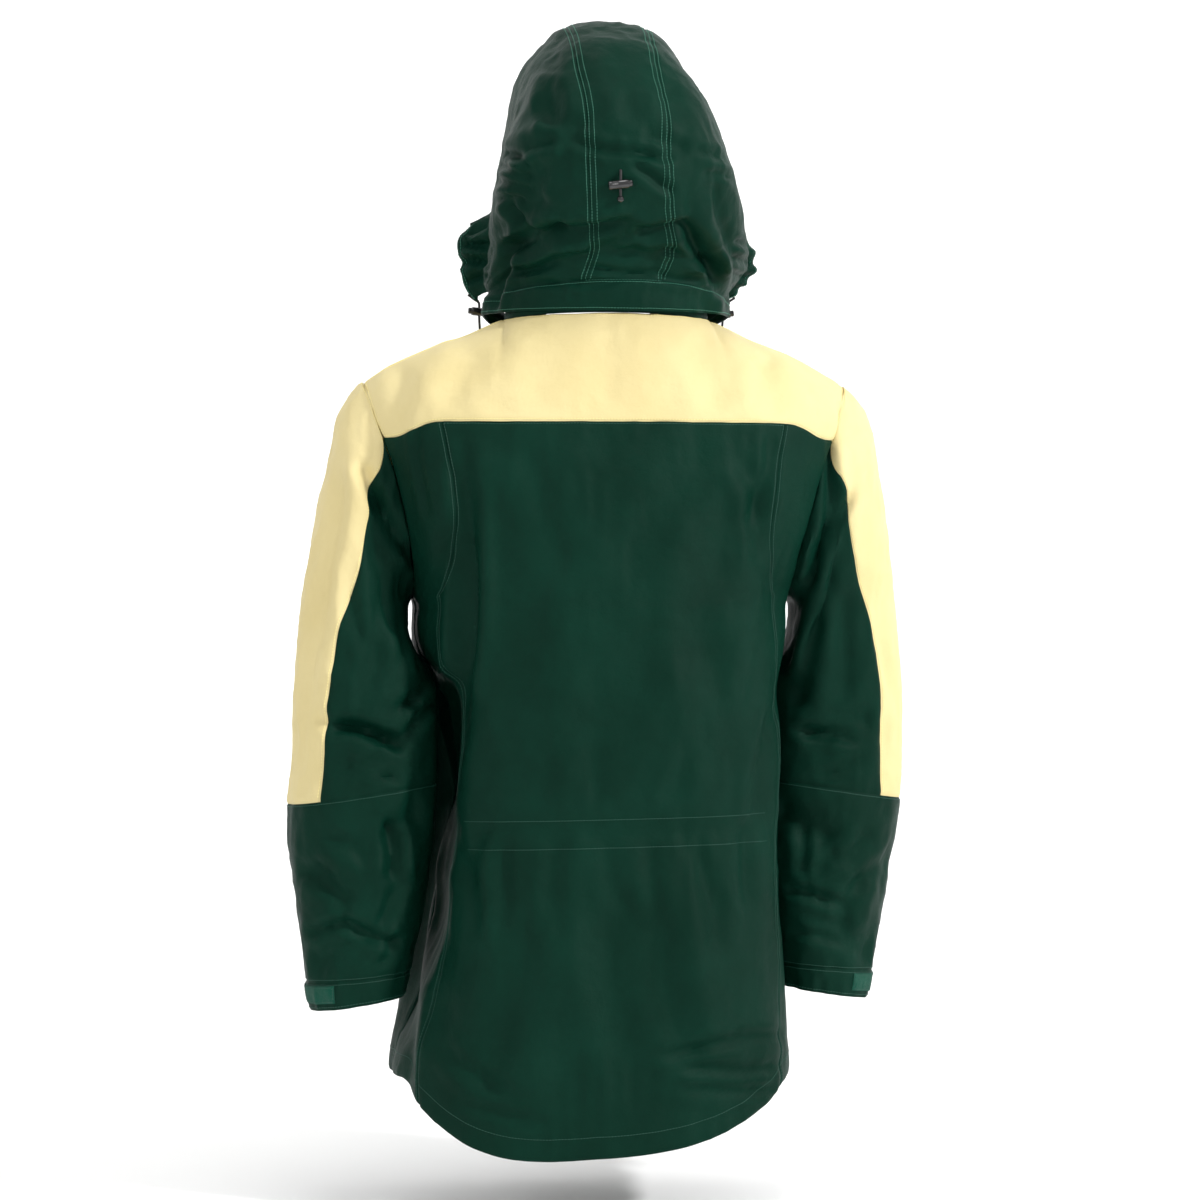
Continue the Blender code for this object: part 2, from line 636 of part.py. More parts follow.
def cloth_panel(name, surface, u, v, flip, material, wall=WALL, lift=0.0,
                trim=(1, 1, 1, 1), ring=False, armhole=None):
    """Closed cloth wall over a grid of u by v on a surface.

    flip gives the outward side, lift moves the panel out, trim says which of the edges
    (u first, u last, v first, v last) step back from a seam, ring joins u's ends, and
    armhole gives the side and angles of a panel whose first row is sewn to the body.
    """
    grid_u, grid_v = np.meshgrid(u, v, indexing="ij")
    points = surface(grid_u, grid_v)
    normals = normals_of(surface, grid_u, grid_v, flip)
    if armhole is not None:
        armhole_wall(*armhole, points, normals)
    if ring:
        points[-1], normals[-1] = points[0], normals[0]
    else:
        for at_end in (False, True):
            step_back(points, 0, at_end, SEAM_TRIM * trim[int(at_end)])
    for at_end in (False, True):
        step_back(points, 1, at_end, SEAM_TRIM * trim[2 + int(at_end)])
    outer = lean(points + normals * lift)
    inner = lean(points + normals * (lift - wall))
    columns = len(u) - 1 if ring else len(u)
    rows = len(v)
    count = columns * rows
    vertices = np.concatenate([outer[:columns].reshape(-1, 3), inner[:columns].reshape(-1, 3)])

    def index(i, j, layer=0):
        return layer * count + (i % columns) * rows + j

    faces = []
    spans = columns if ring else columns - 1
    for i in range(spans):
        for j in range(rows - 1):
            faces.append((index(i, j), index(i + 1, j), index(i + 1, j + 1), index(i, j + 1)))
            faces.append((index(i, j, 1), index(i, j + 1, 1), index(i + 1, j + 1, 1),
                          index(i + 1, j, 1)))
        for j in (0, rows - 1):
            faces.append((index(i, j), index(i + 1, j), index(i + 1, j, 1), index(i, j, 1)))
    if not ring:
        for i in (0, columns - 1):
            for j in range(rows - 1):
                faces.append((index(i, j), index(i, j + 1), index(i, j + 1, 1), index(i, j, 1)))
    return add_mesh_object(name, vertices, faces, material)


# ------------------------------------------------------------------------- the pieces
SIDE_COLUMNS = 4
# Columns from the centre to the side-back seam; the fourth meets the end of the neck.
SEAM_SHARE = 0.56
CENTRE_PLACES = np.array((0, 1 / 3, 2 / 3, 1, 1.29, 1.58, SEAM_SHARE / NECK_SHARE)) * (
    NECK_SHARE / SEAM_SHARE)
ZIP_FLAT_SHARE = 0.028   # the front stays flat beside the zip as far as this
# Share at which the front's edge clears the zip, by level.
FRONT_START = Table(("level", "share"), [
    (0.0, 0.0088),
    (0.5, 0.0062),
    (1.0, 0.0044),
    (2.0, 0.0044),
])


def make_body(green, yellow):
    centre = np.concatenate([-CENTRE_PLACES[:0:-1], CENTRE_PLACES])
    side = np.linspace(SEAM_SHARE, 1, SIDE_COLUMNS + 1)
    yoke_shares = np.concatenate([-side[::-1], centre[1:-1] * SEAM_SHARE, side])
    front_shares = np.concatenate([[0, ZIP_FLAT_SHARE], CENTRE_PLACES[1:-1] * SEAM_SHARE, side])
    cloth_panel("back_yoke", BODY_SURFACE[1], yoke_shares, yoke_levels(), BODY_FLIP[1], yellow)

    def centre_surface(a, level):
        return BODY_SURFACE[1](a * SIDE_SEAM.at("share", level), level)

    cloth_panel("back_panel", centre_surface, centre, lower_levels(1), BODY_FLIP[1], green)
    for sign, letter in ((1, "L"), (-1, "R")):
        def side_surface(a, level, sign=sign):
            share = between(SIDE_SEAM.at("share", level), 1.0, a)
            return BODY_SURFACE[1](sign * share, level)

        cloth_panel(f"side_back_{letter}", side_surface, np.linspace(0, 1, SIDE_COLUMNS + 1),
                    lower_levels(1), BODY_FLIP[1] * sign, green)

        def front_surface(a, level, sign=sign):
            return BODY_SURFACE[-1](sign * np.maximum(a, FRONT_START.at("share", level)), level)

        cloth_panel(f"front_{letter}", front_surface, front_shares, lower_levels(-1),
                    BODY_FLIP[-1] * sign, green)
        cloth_panel(f"front_yoke_{letter}", front_surface, front_shares, yoke_levels(),
                    BODY_FLIP[-1] * sign, yellow)


def make_sleeve(side, letter, green, yellow, fleece, loop):
    surface = sleeve_surface(side)
    back_levels, back_angles = ARMHOLE_LOOKUP[1]
    front_levels, front_angles = ARMHOLE_LOOKUP[-1]
    back_edge = back_angles[YOKE_ROWS]
    front_edge = front_angles[YOKE_ROWS]
    upper = np.concatenate([-front_angles[YOKE_ROWS:0:-1] / front_edge,
                            back_angles[:YOKE_ROWS + 1] / back_edge])
    under_back = (back_angles[YOKE_ROWS:] - back_edge) / (180 - back_edge)
    under_front = (front_angles[YOKE_ROWS:] - front_edge) / (180 - front_edge)
    under = np.concatenate([under_back, 2 - under_front[-2::-1]])

    def panel_edges(row):
        """Back and front edge of the yellow panel at a row, in degrees."""
        here = smooth_step(row / 1.0)
        shown = SLEEVE.at("yellow", row)
        return between(back_edge, shown, here), between(front_edge, shown, here)

    def yellow_surface(a, row):
        back, front = panel_edges(row)
        return surface(np.where(a >= 0, a * back, a * front), row)

    def under_angle(a, row):
        back, front = panel_edges(row)
        return np.where(a <= 1, between(back, 180, a), between(180, 360 - front, a - 1))

    def under_surface(a, row):
        return surface(under_angle(a, row), row)

    rows = np.concatenate([np.linspace(0, 3, 6), np.arange(4, ELBOW + 1)])
    first = np.array(0.0)
    outer_back, outer_front = panel_edges(first)
    outer_angles = np.where(upper >= 0, upper * outer_back, upper * outer_front)
    cloth_panel(f"sleeve_outer_{letter}", yellow_surface, upper, rows, -side, yellow,
                trim=(1, 1, 1, 1), armhole=(side, outer_angles))
    cloth_panel(f"sleeve_under_{letter}", under_surface, under, rows, -side, green,
                trim=(1, 1, 2, 1), armhole=(side, under_angle(under, first)))
    back, front = panel_edges(np.array(float(ELBOW)))
    ring = np.concatenate([np.where(upper >= 0, upper * back, upper * front)[:-1],
                           under_angle(under, np.array(float(ELBOW)))])
    ring[-1] = ring[0] + 360
    cloth_panel(f"forearm_{letter}", surface, ring, np.linspace(ELBOW, CUFF_TOP, 7), -side,
                green, ring=True)
    cloth_panel(f"cuff_{letter}", surface, ring, np.linspace(CUFF_TOP, CUFF_END, 2), -side,
                green, ring=True)
    cloth_panel(f"liner_cuff_{letter}", surface, np.linspace(0, 360, 17),
                np.array((CUFF_TOP - 0.4, CUFF_END - 0.02)), -side, fleece, FLEECE_WALL,
                lift=-(WALL + 0.0035), trim=(0, 0, 0, 0), ring=True)
    cloth_panel(f"cuff_patch_{letter}", surface, np.linspace(4, 62, 7),
                np.array((CUFF_TOP + 0.12, CUFF_END - 0.25)), -side, loop, 0.0012,
                lift=0.0012 + CLEARANCE, trim=(0, 0, 0, 0))
    cloth_panel(f"cuff_tab_{letter}", surface, np.linspace(-96, -2, 9),
                np.array((CUFF_TOP + 0.12, CUFF_END - 0.25)), -side, green, 0.0016,
                lift=0.0016 + CLEARANCE, trim=(0, 0, 0, 0))


def make_hood(green):
    angles = np.concatenate([np.linspace(HOOD_BAND_TOP, 30, 6),
                             np.linspace(30, HOOD_EDGE_START, 13)[1:]])
    centre = np.linspace(-1, 1, 7)
    leg = np.linspace(0, 1, 10)

    def centre_surface(a, angle):
        return HOOD_SURFACE(a * hood_seam_across(angle), angle)

    def side_surface(sign):
        def surface(a, angle):
            return HOOD_SURFACE(sign * between(hood_seam_across(angle), HOOD_LEG_END, a), angle)
        return surface

    def whole_surface(a, angle):
        seam = hood_seam_across(angle)
        size = np.abs(a)
        across = np.where(size <= 1, size * seam, between(seam, HOOD_LEG_END, size - 1))
        return HOOD_SURFACE(np.sign(a) * across, angle)

    cloth_panel("hood_centre", centre_surface, centre, angles, -1, green)
    for sign, letter in ((1, "L"), (-1, "R")):
        cloth_panel(f"hood_side_{letter}", side_surface(sign), leg, angles, -sign, green)
    whole = np.concatenate([-1 - leg[::-1], centre[1:-1], 1 + leg])
    cloth_panel("hood_band", whole_surface, whole, np.linspace(HOOD_BAND_LOW, HOOD_BAND_TOP, 2),
                -1, green)
    cloth_panel("hood_edge", whole_surface, whole,
                np.linspace(HOOD_EDGE_START, HOOD_EDGE_END, 2), -1, green)


def make_collar(green):
    neck = CENTRE_PLACES[:4] * SEAM_SHARE / NECK_SHARE / 2
    zip_side = np.array((ZIP_FLAT_SHARE, float(FRONT_START.at("share", 0)))) / NECK_SHARE / 2
    right = np.concatenate([neck, 1 - neck[-2:0:-1], 1 - zip_side])
    cloth_panel("collar", collar_surface, np.concatenate([-right[:0:-1], right]),
                np.linspace(0, 1, 3), -1, green)


# ------------------------------------------------------------------- zip, locks, cords
def zip_path():
    """Centre-front line from the hem up to the collar's top, with outward directions."""
    body_levels = np.concatenate([lower_levels(-1)[::-1], yoke_levels()[-2::-1]])
    body = BODY_SURFACE[-1](np.full_like(body_levels, 1e-6), body_levels)
    rise = np.array((0.25, 0.5, 0.75, 1.0))
    upper = collar_surface(np.full_like(rise, 1.0), rise)
    path = np.concatenate([body, upper])
    path[:, 0] = 0
    path[0, 2] += ZIP_END_MARGIN
    path[-1, 2] -= ZIP_END_MARGIN
    way = np.gradient(path, axis=0)
    outward = np.stack([0 * way[:, 0], -way[:, 2], way[:, 1]], axis=-1)
    return path, outward / np.linalg.norm(outward, axis=-1, keepdims=True)


def zip_strip(name, half_width, depth, wall, material):
    """Flat strip along the centre front, its face at a depth under the cloth's face."""
    path, outward = zip_path()
    across = np.array((-half_width, half_width))
    points = path[None] - outward[None] * depth + 0 * across[:, None, None]
    points[..., 0] += across[:, None]
    inner = points - outward[None] * wall
    rows = len(path)
    vertices = np.concatenate([lean(points).reshape(-1, 3), lean(inner).reshape(-1, 3)])
    count = 2 * rows
    faces = []
    for j in range(rows - 1):
        a, b, c, d = j, j + 1, rows + j + 1, rows + j
        faces.append((a, b, c, d))
        faces.append((count + a, count + d, count + c, count + b))
        faces.append((a, count + a, count + b, b))
        faces.append((d, c, count + c, count + d))
    for j in (0, rows - 1):
        faces.append((j, rows + j, count + rows + j, count + j))
    add_mesh_object(name, vertices, faces, material)


def add_box(name, centre, size):
    bpy.ops.mesh.primitive_cube_add(size=1, location=centre)
    box = bpy.context.object
    box.name = name
    box.data.transform(Matrix.Diagonal((*size, 1)))
    return box


def add_rod(name, centre, radius, length, sides=16):
    """Cylinder along X."""
    bpy.ops.mesh.primitive_cylinder_add(vertices=sides, radius=radius, depth=length,
                                        location=centre)
    rod = bpy.context.object
    rod.name = name
    rod.data.transform(Matrix.Rotation(math.pi / 2, 4, "Y"))
    return rod


def move_to(obj, collection_name):
    for collection in list(obj.users_collection):
        collection.objects.unlink(obj)
    bpy.data.collections[collection_name].objects.link(obj)


def combine(target, tool, operation):
    """Boolean of a hidden tool object on a target."""
    change = target.modifiers.new(tool.name, "BOOLEAN")
    change.operation = operation
    change.solver = "EXACT"
    change.object = tool
    tool.hide_render = True
    tool.display_type = "WIRE"
    move_to(tool, "cutters")


def pull_pin_point():
    """Centre of the pin that the zip's pull tab swings on."""
    path, _ = zip_path()
    z = path[-1, 2] + ZIP_END_MARGIN - SLIDER_DROP
    y = float(np.interp(z, path[:, 2], path[:, 1]))
    face = y - SLIDER_STAND_OFF - SLIDER_SIZE[1]
    point = lean(np.array((0.0, face - LUG_SIZE[1] + LUG_SIZE[2] / 2, z)))
    return Vector(point)


def make_zip(green, black, steel):
    zip_strip("zip_tape", ZIP_TAPE_HALF_WIDTH, ZIP_TAPE_DEPTH, ZIP_TAPE_WALL, green)
    zip_strip("zip_chain", ZIP_CHAIN_HALF_WIDTH, 0.0, ZIP_CHAIN_WALL, black)
    pin = pull_pin_point()
    face_y = pin.y + LUG_SIZE[1] - LUG_SIZE[2] / 2
    slider = add_box("zip_slider", (pin.x, face_y + SLIDER_SIZE[1] / 2, pin.z), SLIDER_SIZE)
    slider.data.materials.append(steel)
    move_to(slider, "three_in_one_jacket")
    for sign in (1, -1):
        centre = (pin.x + sign * LUG_SPACING, face_y - LUG_SIZE[1] / 2 + 0.0001, pin.z)
        lug = add_box(f"slider_lug_{sign}", centre, LUG_SIZE)
        combine(slider, lug, "UNION")
    combine(slider, add_rod("slider_pin", pin, PIN_RADIUS, 2 * LUG_SPACING, 12), "UNION")
    plate_top = EYE_BORE + 0.0004
    centre = (pin.x, pin.y, pin.z - plate_top - PULL_SIZE[2] / 2)
    pull = add_box("zip_pull", centre, PULL_SIZE)
    pull.data.materials.append(steel)
    move_to(pull, "three_in_one_jacket")
    combine(pull, add_rod("pull_eye", pin, EYE_RADIUS, EYE_WIDTH), "UNION")
    combine(pull, add_rod("pull_bore", pin, EYE_BORE, 2 * EYE_WIDTH), "DIFFERENCE")


def hood_place(x, z):
    """Point and outward direction of the hood's back at a place seen from behind."""
    angles = np.linspace(HOOD_BAND_TOP, 60, 200)
    heights = HOOD_SURFACE(np.zeros_like(angles), angles)[:, 2]
    angle = float(np.interp(z, heights, angles))
    x = x - float(HOOD_SWAY.at("x", z))
    share = abs(x) / float(HOOD.at("half_width", angle))
    turn = math.asin(share ** (float(HOOD.at("squareness", angle)) / 2))
    across = math.copysign(turn * 2 / math.pi, x)
    u, v = np.array([across]), np.array([angle])
    return lean(HOOD_SURFACE(u, v)[0]), normals_of(HOOD_SURFACE, u, v, -1)[0]


def add_cord(name, points, material):
    curve = bpy.data.curves.new(name, "CURVE")
    curve.dimensions = "3D"
    curve.bevel_depth = CORD_RADIUS
    curve.bevel_resolution = 2
    curve.use_fill_caps = True
    line = curve.splines.new("POLY")
    line.points.add(len(points) - 1)
    for slot, point in zip(line.points, points):
        slot.co = (*point, 1.0)
    cord = bpy.data.objects.new(name, curve)
    cord.data.materials.append(material)
    bpy.data.collections["three_in_one_jacket"].objects.link(cord)


def smooth_route(points, count):
    """Points on a smooth curve through a few hand-chosen ones."""
    points = np.array(points, float)
    knots = np.concatenate([[0], np.cumsum(np.linalg.norm(np.diff(points, axis=0), axis=1))])
    table = Table(("t", "x", "y", "z"), [(k, *p) for k, p in zip(knots, points)])
    where = np.linspace(0, knots[-1], count)
    return np.stack([table.at(axis, where) for axis in "xyz"], axis=-1)


def add_lock(name, centre, direction, material):
    """Barrel cord lock: a turned profile with a push button at one end."""
    half = LOCK_LENGTH / 2
    chamfer = 0.001
    profile = [(0.0, half), (BUTTON_RADIUS - chamfer / 2, half),
               (BUTTON_RADIUS, half - chamfer / 2),
               (BUTTON_RADIUS, half - BUTTON_LENGTH), (LOCK_RADIUS - chamfer, half - BUTTON_LENGTH),
               (LOCK_RADIUS, half - BUTTON_LENGTH - chamfer), (LOCK_RADIUS, chamfer - half),
               (LOCK_RADIUS - chamfer, -half), (0.0, -half)]
    mesh = bpy.data.meshes.new(name)
    edges = [(i, i + 1) for i in range(len(profile) - 1)]
    mesh.from_pydata([(r, 0, h) for r, h in profile], edges, [])
    lock = bpy.data.objects.new(name, mesh)
    screw = lock.modifiers.new("turn", "SCREW")
    screw.steps = 14
    screw.render_steps = 14
    screw.use_merge_vertices = True
    screw.merge_threshold = 0.0001
    lock.location = Vector(centre)
    lock.rotation_euler = Vector(direction).to_track_quat("Z", "Y").to_euler()
    lock.data.materials.append(material)
    bpy.data.collections["three_in_one_jacket"].objects.link(lock)
    return lock


def add_bead(name, centre, material):
    bpy.ops.mesh.primitive_uv_sphere_add(segments=12, ring_count=8, radius=BEAD_RADIUS,
                                         location=centre)
    bead = bpy.context.object
    bead.name = name
    bead.data.materials.append(material)
    bead.data.shade_smooth()
    move_to(bead, "three_in_one_jacket")


# Route of each front cord from the hood's edge, as steps from its exit point: first to
# its lock, and from below the lock to its knot. x is away from the wearer's middle.
FRONT_CORD_UPPER = [(0.000, 0.000, 0.000), (-0.006, -0.004, -0.004),
                    (-0.0118, -0.006, -0.0082), (-0.012, -0.006, -0.0115)]
FRONT_CORD_LOWER = [(-0.012, -0.006, -0.0225), (-0.013, -0.009, -0.036),
                    (-0.015, -0.014, -0.050), (-0.018, -0.020, -0.062)]
FRONT_LOCK_STEP = (-0.012, -0.006, -0.0173)
FRONT_EXIT_ACROSS = 0.957
FRONT_EXIT_ANGLE = 98.0


def make_cords(black):
    point, outward = hood_place(*BACK_LOCK)
    tilt = math.radians(BACK_LOCK_TILT)
    centre = point + outward * (LOCK_RADIUS + CLEARANCE)
    add_lock("cord_lock_back", centre, (-math.cos(tilt), 0.0, math.sin(tilt)), black)
    eyelet, eyelet_out = hood_place(BACK_LOCK[0], BACK_LOCK[1] + BACK_CORD_RISE)
    start = eyelet + eyelet_out * (CORD_RADIUS + CLEARANCE)
    up = (start - centre) / np.linalg.norm(start - centre)
    meet = centre + up * (LOCK_RADIUS + CLEARANCE)
    add_cord("cord_back_upper", [start, between(start, meet, 0.5), meet], black)
    low, low_out = hood_place(BACK_LOCK[0] - 0.001, BACK_LOCK[1] - BACK_CORD_RISE)
    bead = low + low_out * (BEAD_RADIUS + CLEARANCE)
    down = (bead - centre) / np.linalg.norm(bead - centre)
    first = centre + down * (LOCK_RADIUS + CLEARANCE)
    last = bead - down * (BEAD_RADIUS + BEAD_GAP)
    add_cord("cord_back_lower", [first, between(first, last, 0.5), last], black)
    add_bead("cord_bead_back", bead, black)
    for side, letter in ((1, "L"), (-1, "R")):
        u, v = np.array([side * FRONT_EXIT_ACROSS]), np.array([FRONT_EXIT_ANGLE])
        outward = normals_of(HOOD_SURFACE, u, v, -1)[0]
        exit_point = lean(HOOD_SURFACE(u, v)[0]) + outward * (CORD_RADIUS + CLEARANCE)

        def placed(steps, exit_point=exit_point, side=side):
            return [exit_point + np.array((side * x, y, z)) for x, y, z in steps]

        add_cord(f"cord_front_upper_{letter}", smooth_route(placed(FRONT_CORD_UPPER), 6), black)
        lower = smooth_route(placed(FRONT_CORD_LOWER), 14)
        add_cord(f"cord_front_{letter}", lower, black)
        lock_point = placed([FRONT_LOCK_STEP])[0]
        add_lock(f"cord_lock_front_{letter}", lock_point, (side * 0.96, 0.15, 0.1), black)
        end_way = (lower[-1] - lower[-2]) / np.linalg.norm(lower[-1] - lower[-2])
        add_bead(f"cord_bead_front_{letter}", lower[-1] + end_way * (BEAD_RADIUS + BEAD_GAP), black)


def main():
    for old in list(bpy.data.objects):
        bpy.data.objects.remove(old, do_unlink=True)
    collection = bpy.data.collections.new("three_in_one_jacket")
    bpy.context.scene.collection.children.link(collection)
    cutters = bpy.data.collections.new("cutters")
    bpy.context.scene.collection.children.link(cutters)
    green = make_material("shell_green", FOREST, 0.55)
    yellow = make_material("shell_yellow", CREAM_YELLOW, 0.6)
    fleece = make_material("liner_fleece", FLEECE_GREEN, 0.95)
    loop = make_material("loop_patch", LOOP_GREEN, 0.9)
    make_body(green, yellow)
    for side, letter in ((1, "L"), (-1, "R")):
        make_sleeve(side, letter, green, yellow, fleece, loop)
    make_hood(green)
    make_collar(green)
    black = make_material("gloss_black", BLACK, 0.25)
    steel = make_material("steel", STEEL, 0.3, 1.0)
    make_zip(green, black, steel)
    make_cords(black)


main()
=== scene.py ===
"""Looks of the hooded three-in-one jacket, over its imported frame.

Metres, +Z up, front towards -Y, the wearer's left towards +X. Every cloth panel is
built again on the same surfaces as the solids, at a finer pitch, with its creases,
sewn edges, puckers, weave and stitching.
"""
import math

import bpy
import numpy as np
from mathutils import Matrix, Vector


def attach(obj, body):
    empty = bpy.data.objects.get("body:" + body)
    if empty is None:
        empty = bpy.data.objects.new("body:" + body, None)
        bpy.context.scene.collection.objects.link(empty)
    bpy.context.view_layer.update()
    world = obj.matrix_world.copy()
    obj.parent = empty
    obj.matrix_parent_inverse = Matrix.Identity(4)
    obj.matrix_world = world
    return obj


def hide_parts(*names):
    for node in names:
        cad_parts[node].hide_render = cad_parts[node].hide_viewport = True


# ---------------------------------------------------------------- driving dimensions
WALL = 0.0016            # shell cloth with its lining
FLEECE_WALL = 0.0028     # liner cuff
CLEARANCE = 0.0004       # between two pieces that lie on each other
LEAN_X = -0.015          # sideways lean of the figure at the neck, none at LEAN_Z
LEAN_Z = -0.75

NECK_HALF_WIDTH = 0.105
NECK_BACK_Y = 0.082
NECK_BACK_Z = 0.0
NECK_SIDE_Z = -0.004
NECK_FRONT_Y = -0.105
NECK_FRONT_Z = -0.060
SHOULDER_SEAM_Y = 0.015
SHOULDER_TIP_X = 0.2475
NECK_SHARE = 0.30        # part of a body row that belongs to the neck edge
BODY_ROUNDNESS = 0.75    # below 1 makes a section boxier than an ellipse

ARMHOLE_TOP_Z = -0.0695
ARMHOLE_MID_Z = -0.190
UNDERARM_Z = -0.285
ARMHOLE_BACK_DEPTH = 0.066
ARMHOLE_FRONT_DEPTH = 0.070

YOKE_SEAM_Z = -0.112
YOKE_SEAM_DROP = 0.015   # the seam falls this much towards the armhole
YOKE_DROP_FROM = 0.55
YOKE_DROP_SPAN = 0.35
FRONT_YOKE_SEAM_Z = -0.150

SIDE_HEM_Z = -0.772
TAIL_DROP = 0.070        # the back hem hangs lower than the sides
TAIL_SPAN = 0.85
TAIL_FLATNESS = 2.3
TAIL_CORNER = 1.8
TAIL_TILT = 0.038        # the tail hangs lower on the wearer's left

ARM_GROOVE_WIDTH = 0.066
ARM_GROOVE_Y = {1: 0.028, -1: -0.032}     # where each sleeve lies against the body
ARM_SHIFT_Y = {1: 0.028, -1: -0.028}
SLEEVE_RADIUS = 0.070
SLEEVE_LEAVES_TOP = 1.8  # rows in which a sleeve leaves the body sideways
SLEEVE_LEAVES_UNDER = 1.6

HOOD_PIVOT_Y = -0.085
HOOD_PIVOT_Z = 0.006
HOOD_CORNER_DROP = 0.030
HOOD_CORNER_REACH = 0.075
HOOD_SEAM_X = 0.041
HOOD_LEG_END = 0.965
HOOD_BAND_LOW = -1.5
HOOD_BAND_TOP = 8.5
HOOD_EDGE_START = 93.0
HOOD_EDGE_END = 99.5

COLLAR_HEIGHT_BACK = 0.050
COLLAR_HEIGHT_FRONT = 0.062
COLLAR_LEAN = 0.94       # size of the top edge against the neck edge
COLLAR_GAP = 0.0004      # between the neck edge and the collar's lower edge

ZIP_TAPE_HALF_WIDTH = 0.011
ZIP_TAPE_WALL = 0.0010
ZIP_TAPE_DEPTH = WALL + 0.0015
ZIP_CHAIN_WALL = 0.0014
ZIP_END_MARGIN = 0.004   # the zip stops this far inside the hem and the collar's top

CORD_RADIUS = 0.0013
LOCK_RADIUS = 0.0045
LOCK_LENGTH = 0.024
BUTTON_RADIUS = 0.0033
BUTTON_LENGTH = 0.0035
BEAD_RADIUS = 0.0034
BACK_LOCK = (0.005, 0.122)       # place on the hood seen from behind: x and z
BACK_LOCK_TILT = 7.0
BACK_CORD_RISE = 0.0135          # the eyelet sits this far above the lock

BLACK = (0.010, 0.010, 0.011)
STEEL = (0.55, 0.56, 0.57)
GREEN_DARK = (0.0012, 0.0225, 0.0130)
GREEN_LIGHT = (0.0022, 0.0310, 0.0185)
YELLOW_DARK = (0.800, 0.670, 0.330)
YELLOW_LIGHT = (0.860, 0.730, 0.380)


class Table:
    """Rows of named columns, read between rows by a curve that never overshoots."""

    def __init__(self, columns, rows):
        self.data = {name: np.array([row[i] for row in rows], float)
                     for i, name in enumerate(columns)}
        self.key = self.data[columns[0]]
        if self.key[0] > self.key[-1]:
            self.key = self.key[::-1]
            self.data = {name: values[::-1] for name, values in self.data.items()}

    def at(self, column, where):
        knots, values = self.key, self.data[column]
        where = np.clip(np.asarray(where, float), knots[0], knots[-1])
        step = np.diff(knots)
        slope = np.diff(values) / step
        product = slope[:-1] * slope[1:]
        total = slope[:-1] + slope[1:]
        inner = np.where(product > 0, 2 * product / np.where(total == 0, 1, total), 0)
        tangent = np.concatenate(([slope[0]], inner, [slope[-1]]))
        i = np.clip(np.searchsorted(knots, where, side="right") - 1, 0, len(step) - 1)
        t = (where - knots[i]) / step[i]
        return (values[i] * (1 + 2 * t) * (1 - t) ** 2
                + values[i + 1] * t ** 2 * (3 - 2 * t)
                + step[i] * t * (1 - t) * (tangent[i] * (1 - t) - tangent[i + 1] * t))


# Body sections by height: half width at the side or armhole, reach to back and front,
# and how deep the groove is where the sleeve lies against the side.
BODY = Table(("z", "half_width", "back", "front", "groove"), [
    (-0.060, 0.2475, 0.105, 0.105, 0.000),
    (-0.085, 0.2430, 0.117, 0.112, 0.000),
    (-0.112, 0.2350, 0.125, 0.121, 0.000),
    (-0.150, 0.2215, 0.134, 0.132, 0.000),
    (-0.190, 0.2100, 0.141, 0.141, 0.000),
    (-0.240, 0.1990, 0.146, 0.147, 0.000),
    (-0.285, 0.1930, 0.149, 0.151, 0.000),
    (-0.297, 0.1925, 0.149, 0.151, 0.004),
    (-0.315, 0.1925, 0.150, 0.152, 0.003),
    (-0.345, 0.1930, 0.150, 0.153, 0.010),
    (-0.400, 0.1930, 0.150, 0.153, 0.037),
    (-0.520, 0.1930, 0.144, 0.149, 0.037),
    (-0.600, 0.1950, 0.147, 0.151, 0.034),
    (-0.660, 0.1980, 0.150, 0.153, 0.022),
    (-0.720, 0.2010, 0.152, 0.154, 0.008),
    (-0.772, 0.2040, 0.153, 0.155, 0.000),
    (-0.850, 0.2050, 0.154, 0.155, 0.000),
])

# Ridge line of the shoulder by distance from the centre.
SHOULDER = Table(("x", "z"), [
    (0.000, 0.0030),
    (0.105, 0.0010),
    (0.122, -0.0047),
    (0.150, -0.0175),
    (0.165, -0.0226),
    (0.190, -0.0325),
    (0.205, -0.0392),
    (0.225, -0.0500),
    (0.2475, -0.0645),
])

# How far below level the cloth leaves the top edge, in degrees, by place in the row.
TOP_FALL = Table(("share", "back", "front"), [
    (0.00, 52.0, 58.0),
    (0.15, 38.0, 42.0),
    (0.30, 14.0, -6.0),
    (0.60, 10.0, -8.0),
    (0.90, 14.0, -10.0),
    (1.00, 16.0, -12.0),
])

# Where the side-back seam runs, as a share of the row from centre to side.
SIDE_SEAM = Table(("v", "share"), [
    (1.00, 0.560),
    (1.12, 0.600),
    (1.25, 0.690),
    (1.50, 0.720),
    (2.00, 0.660),
])

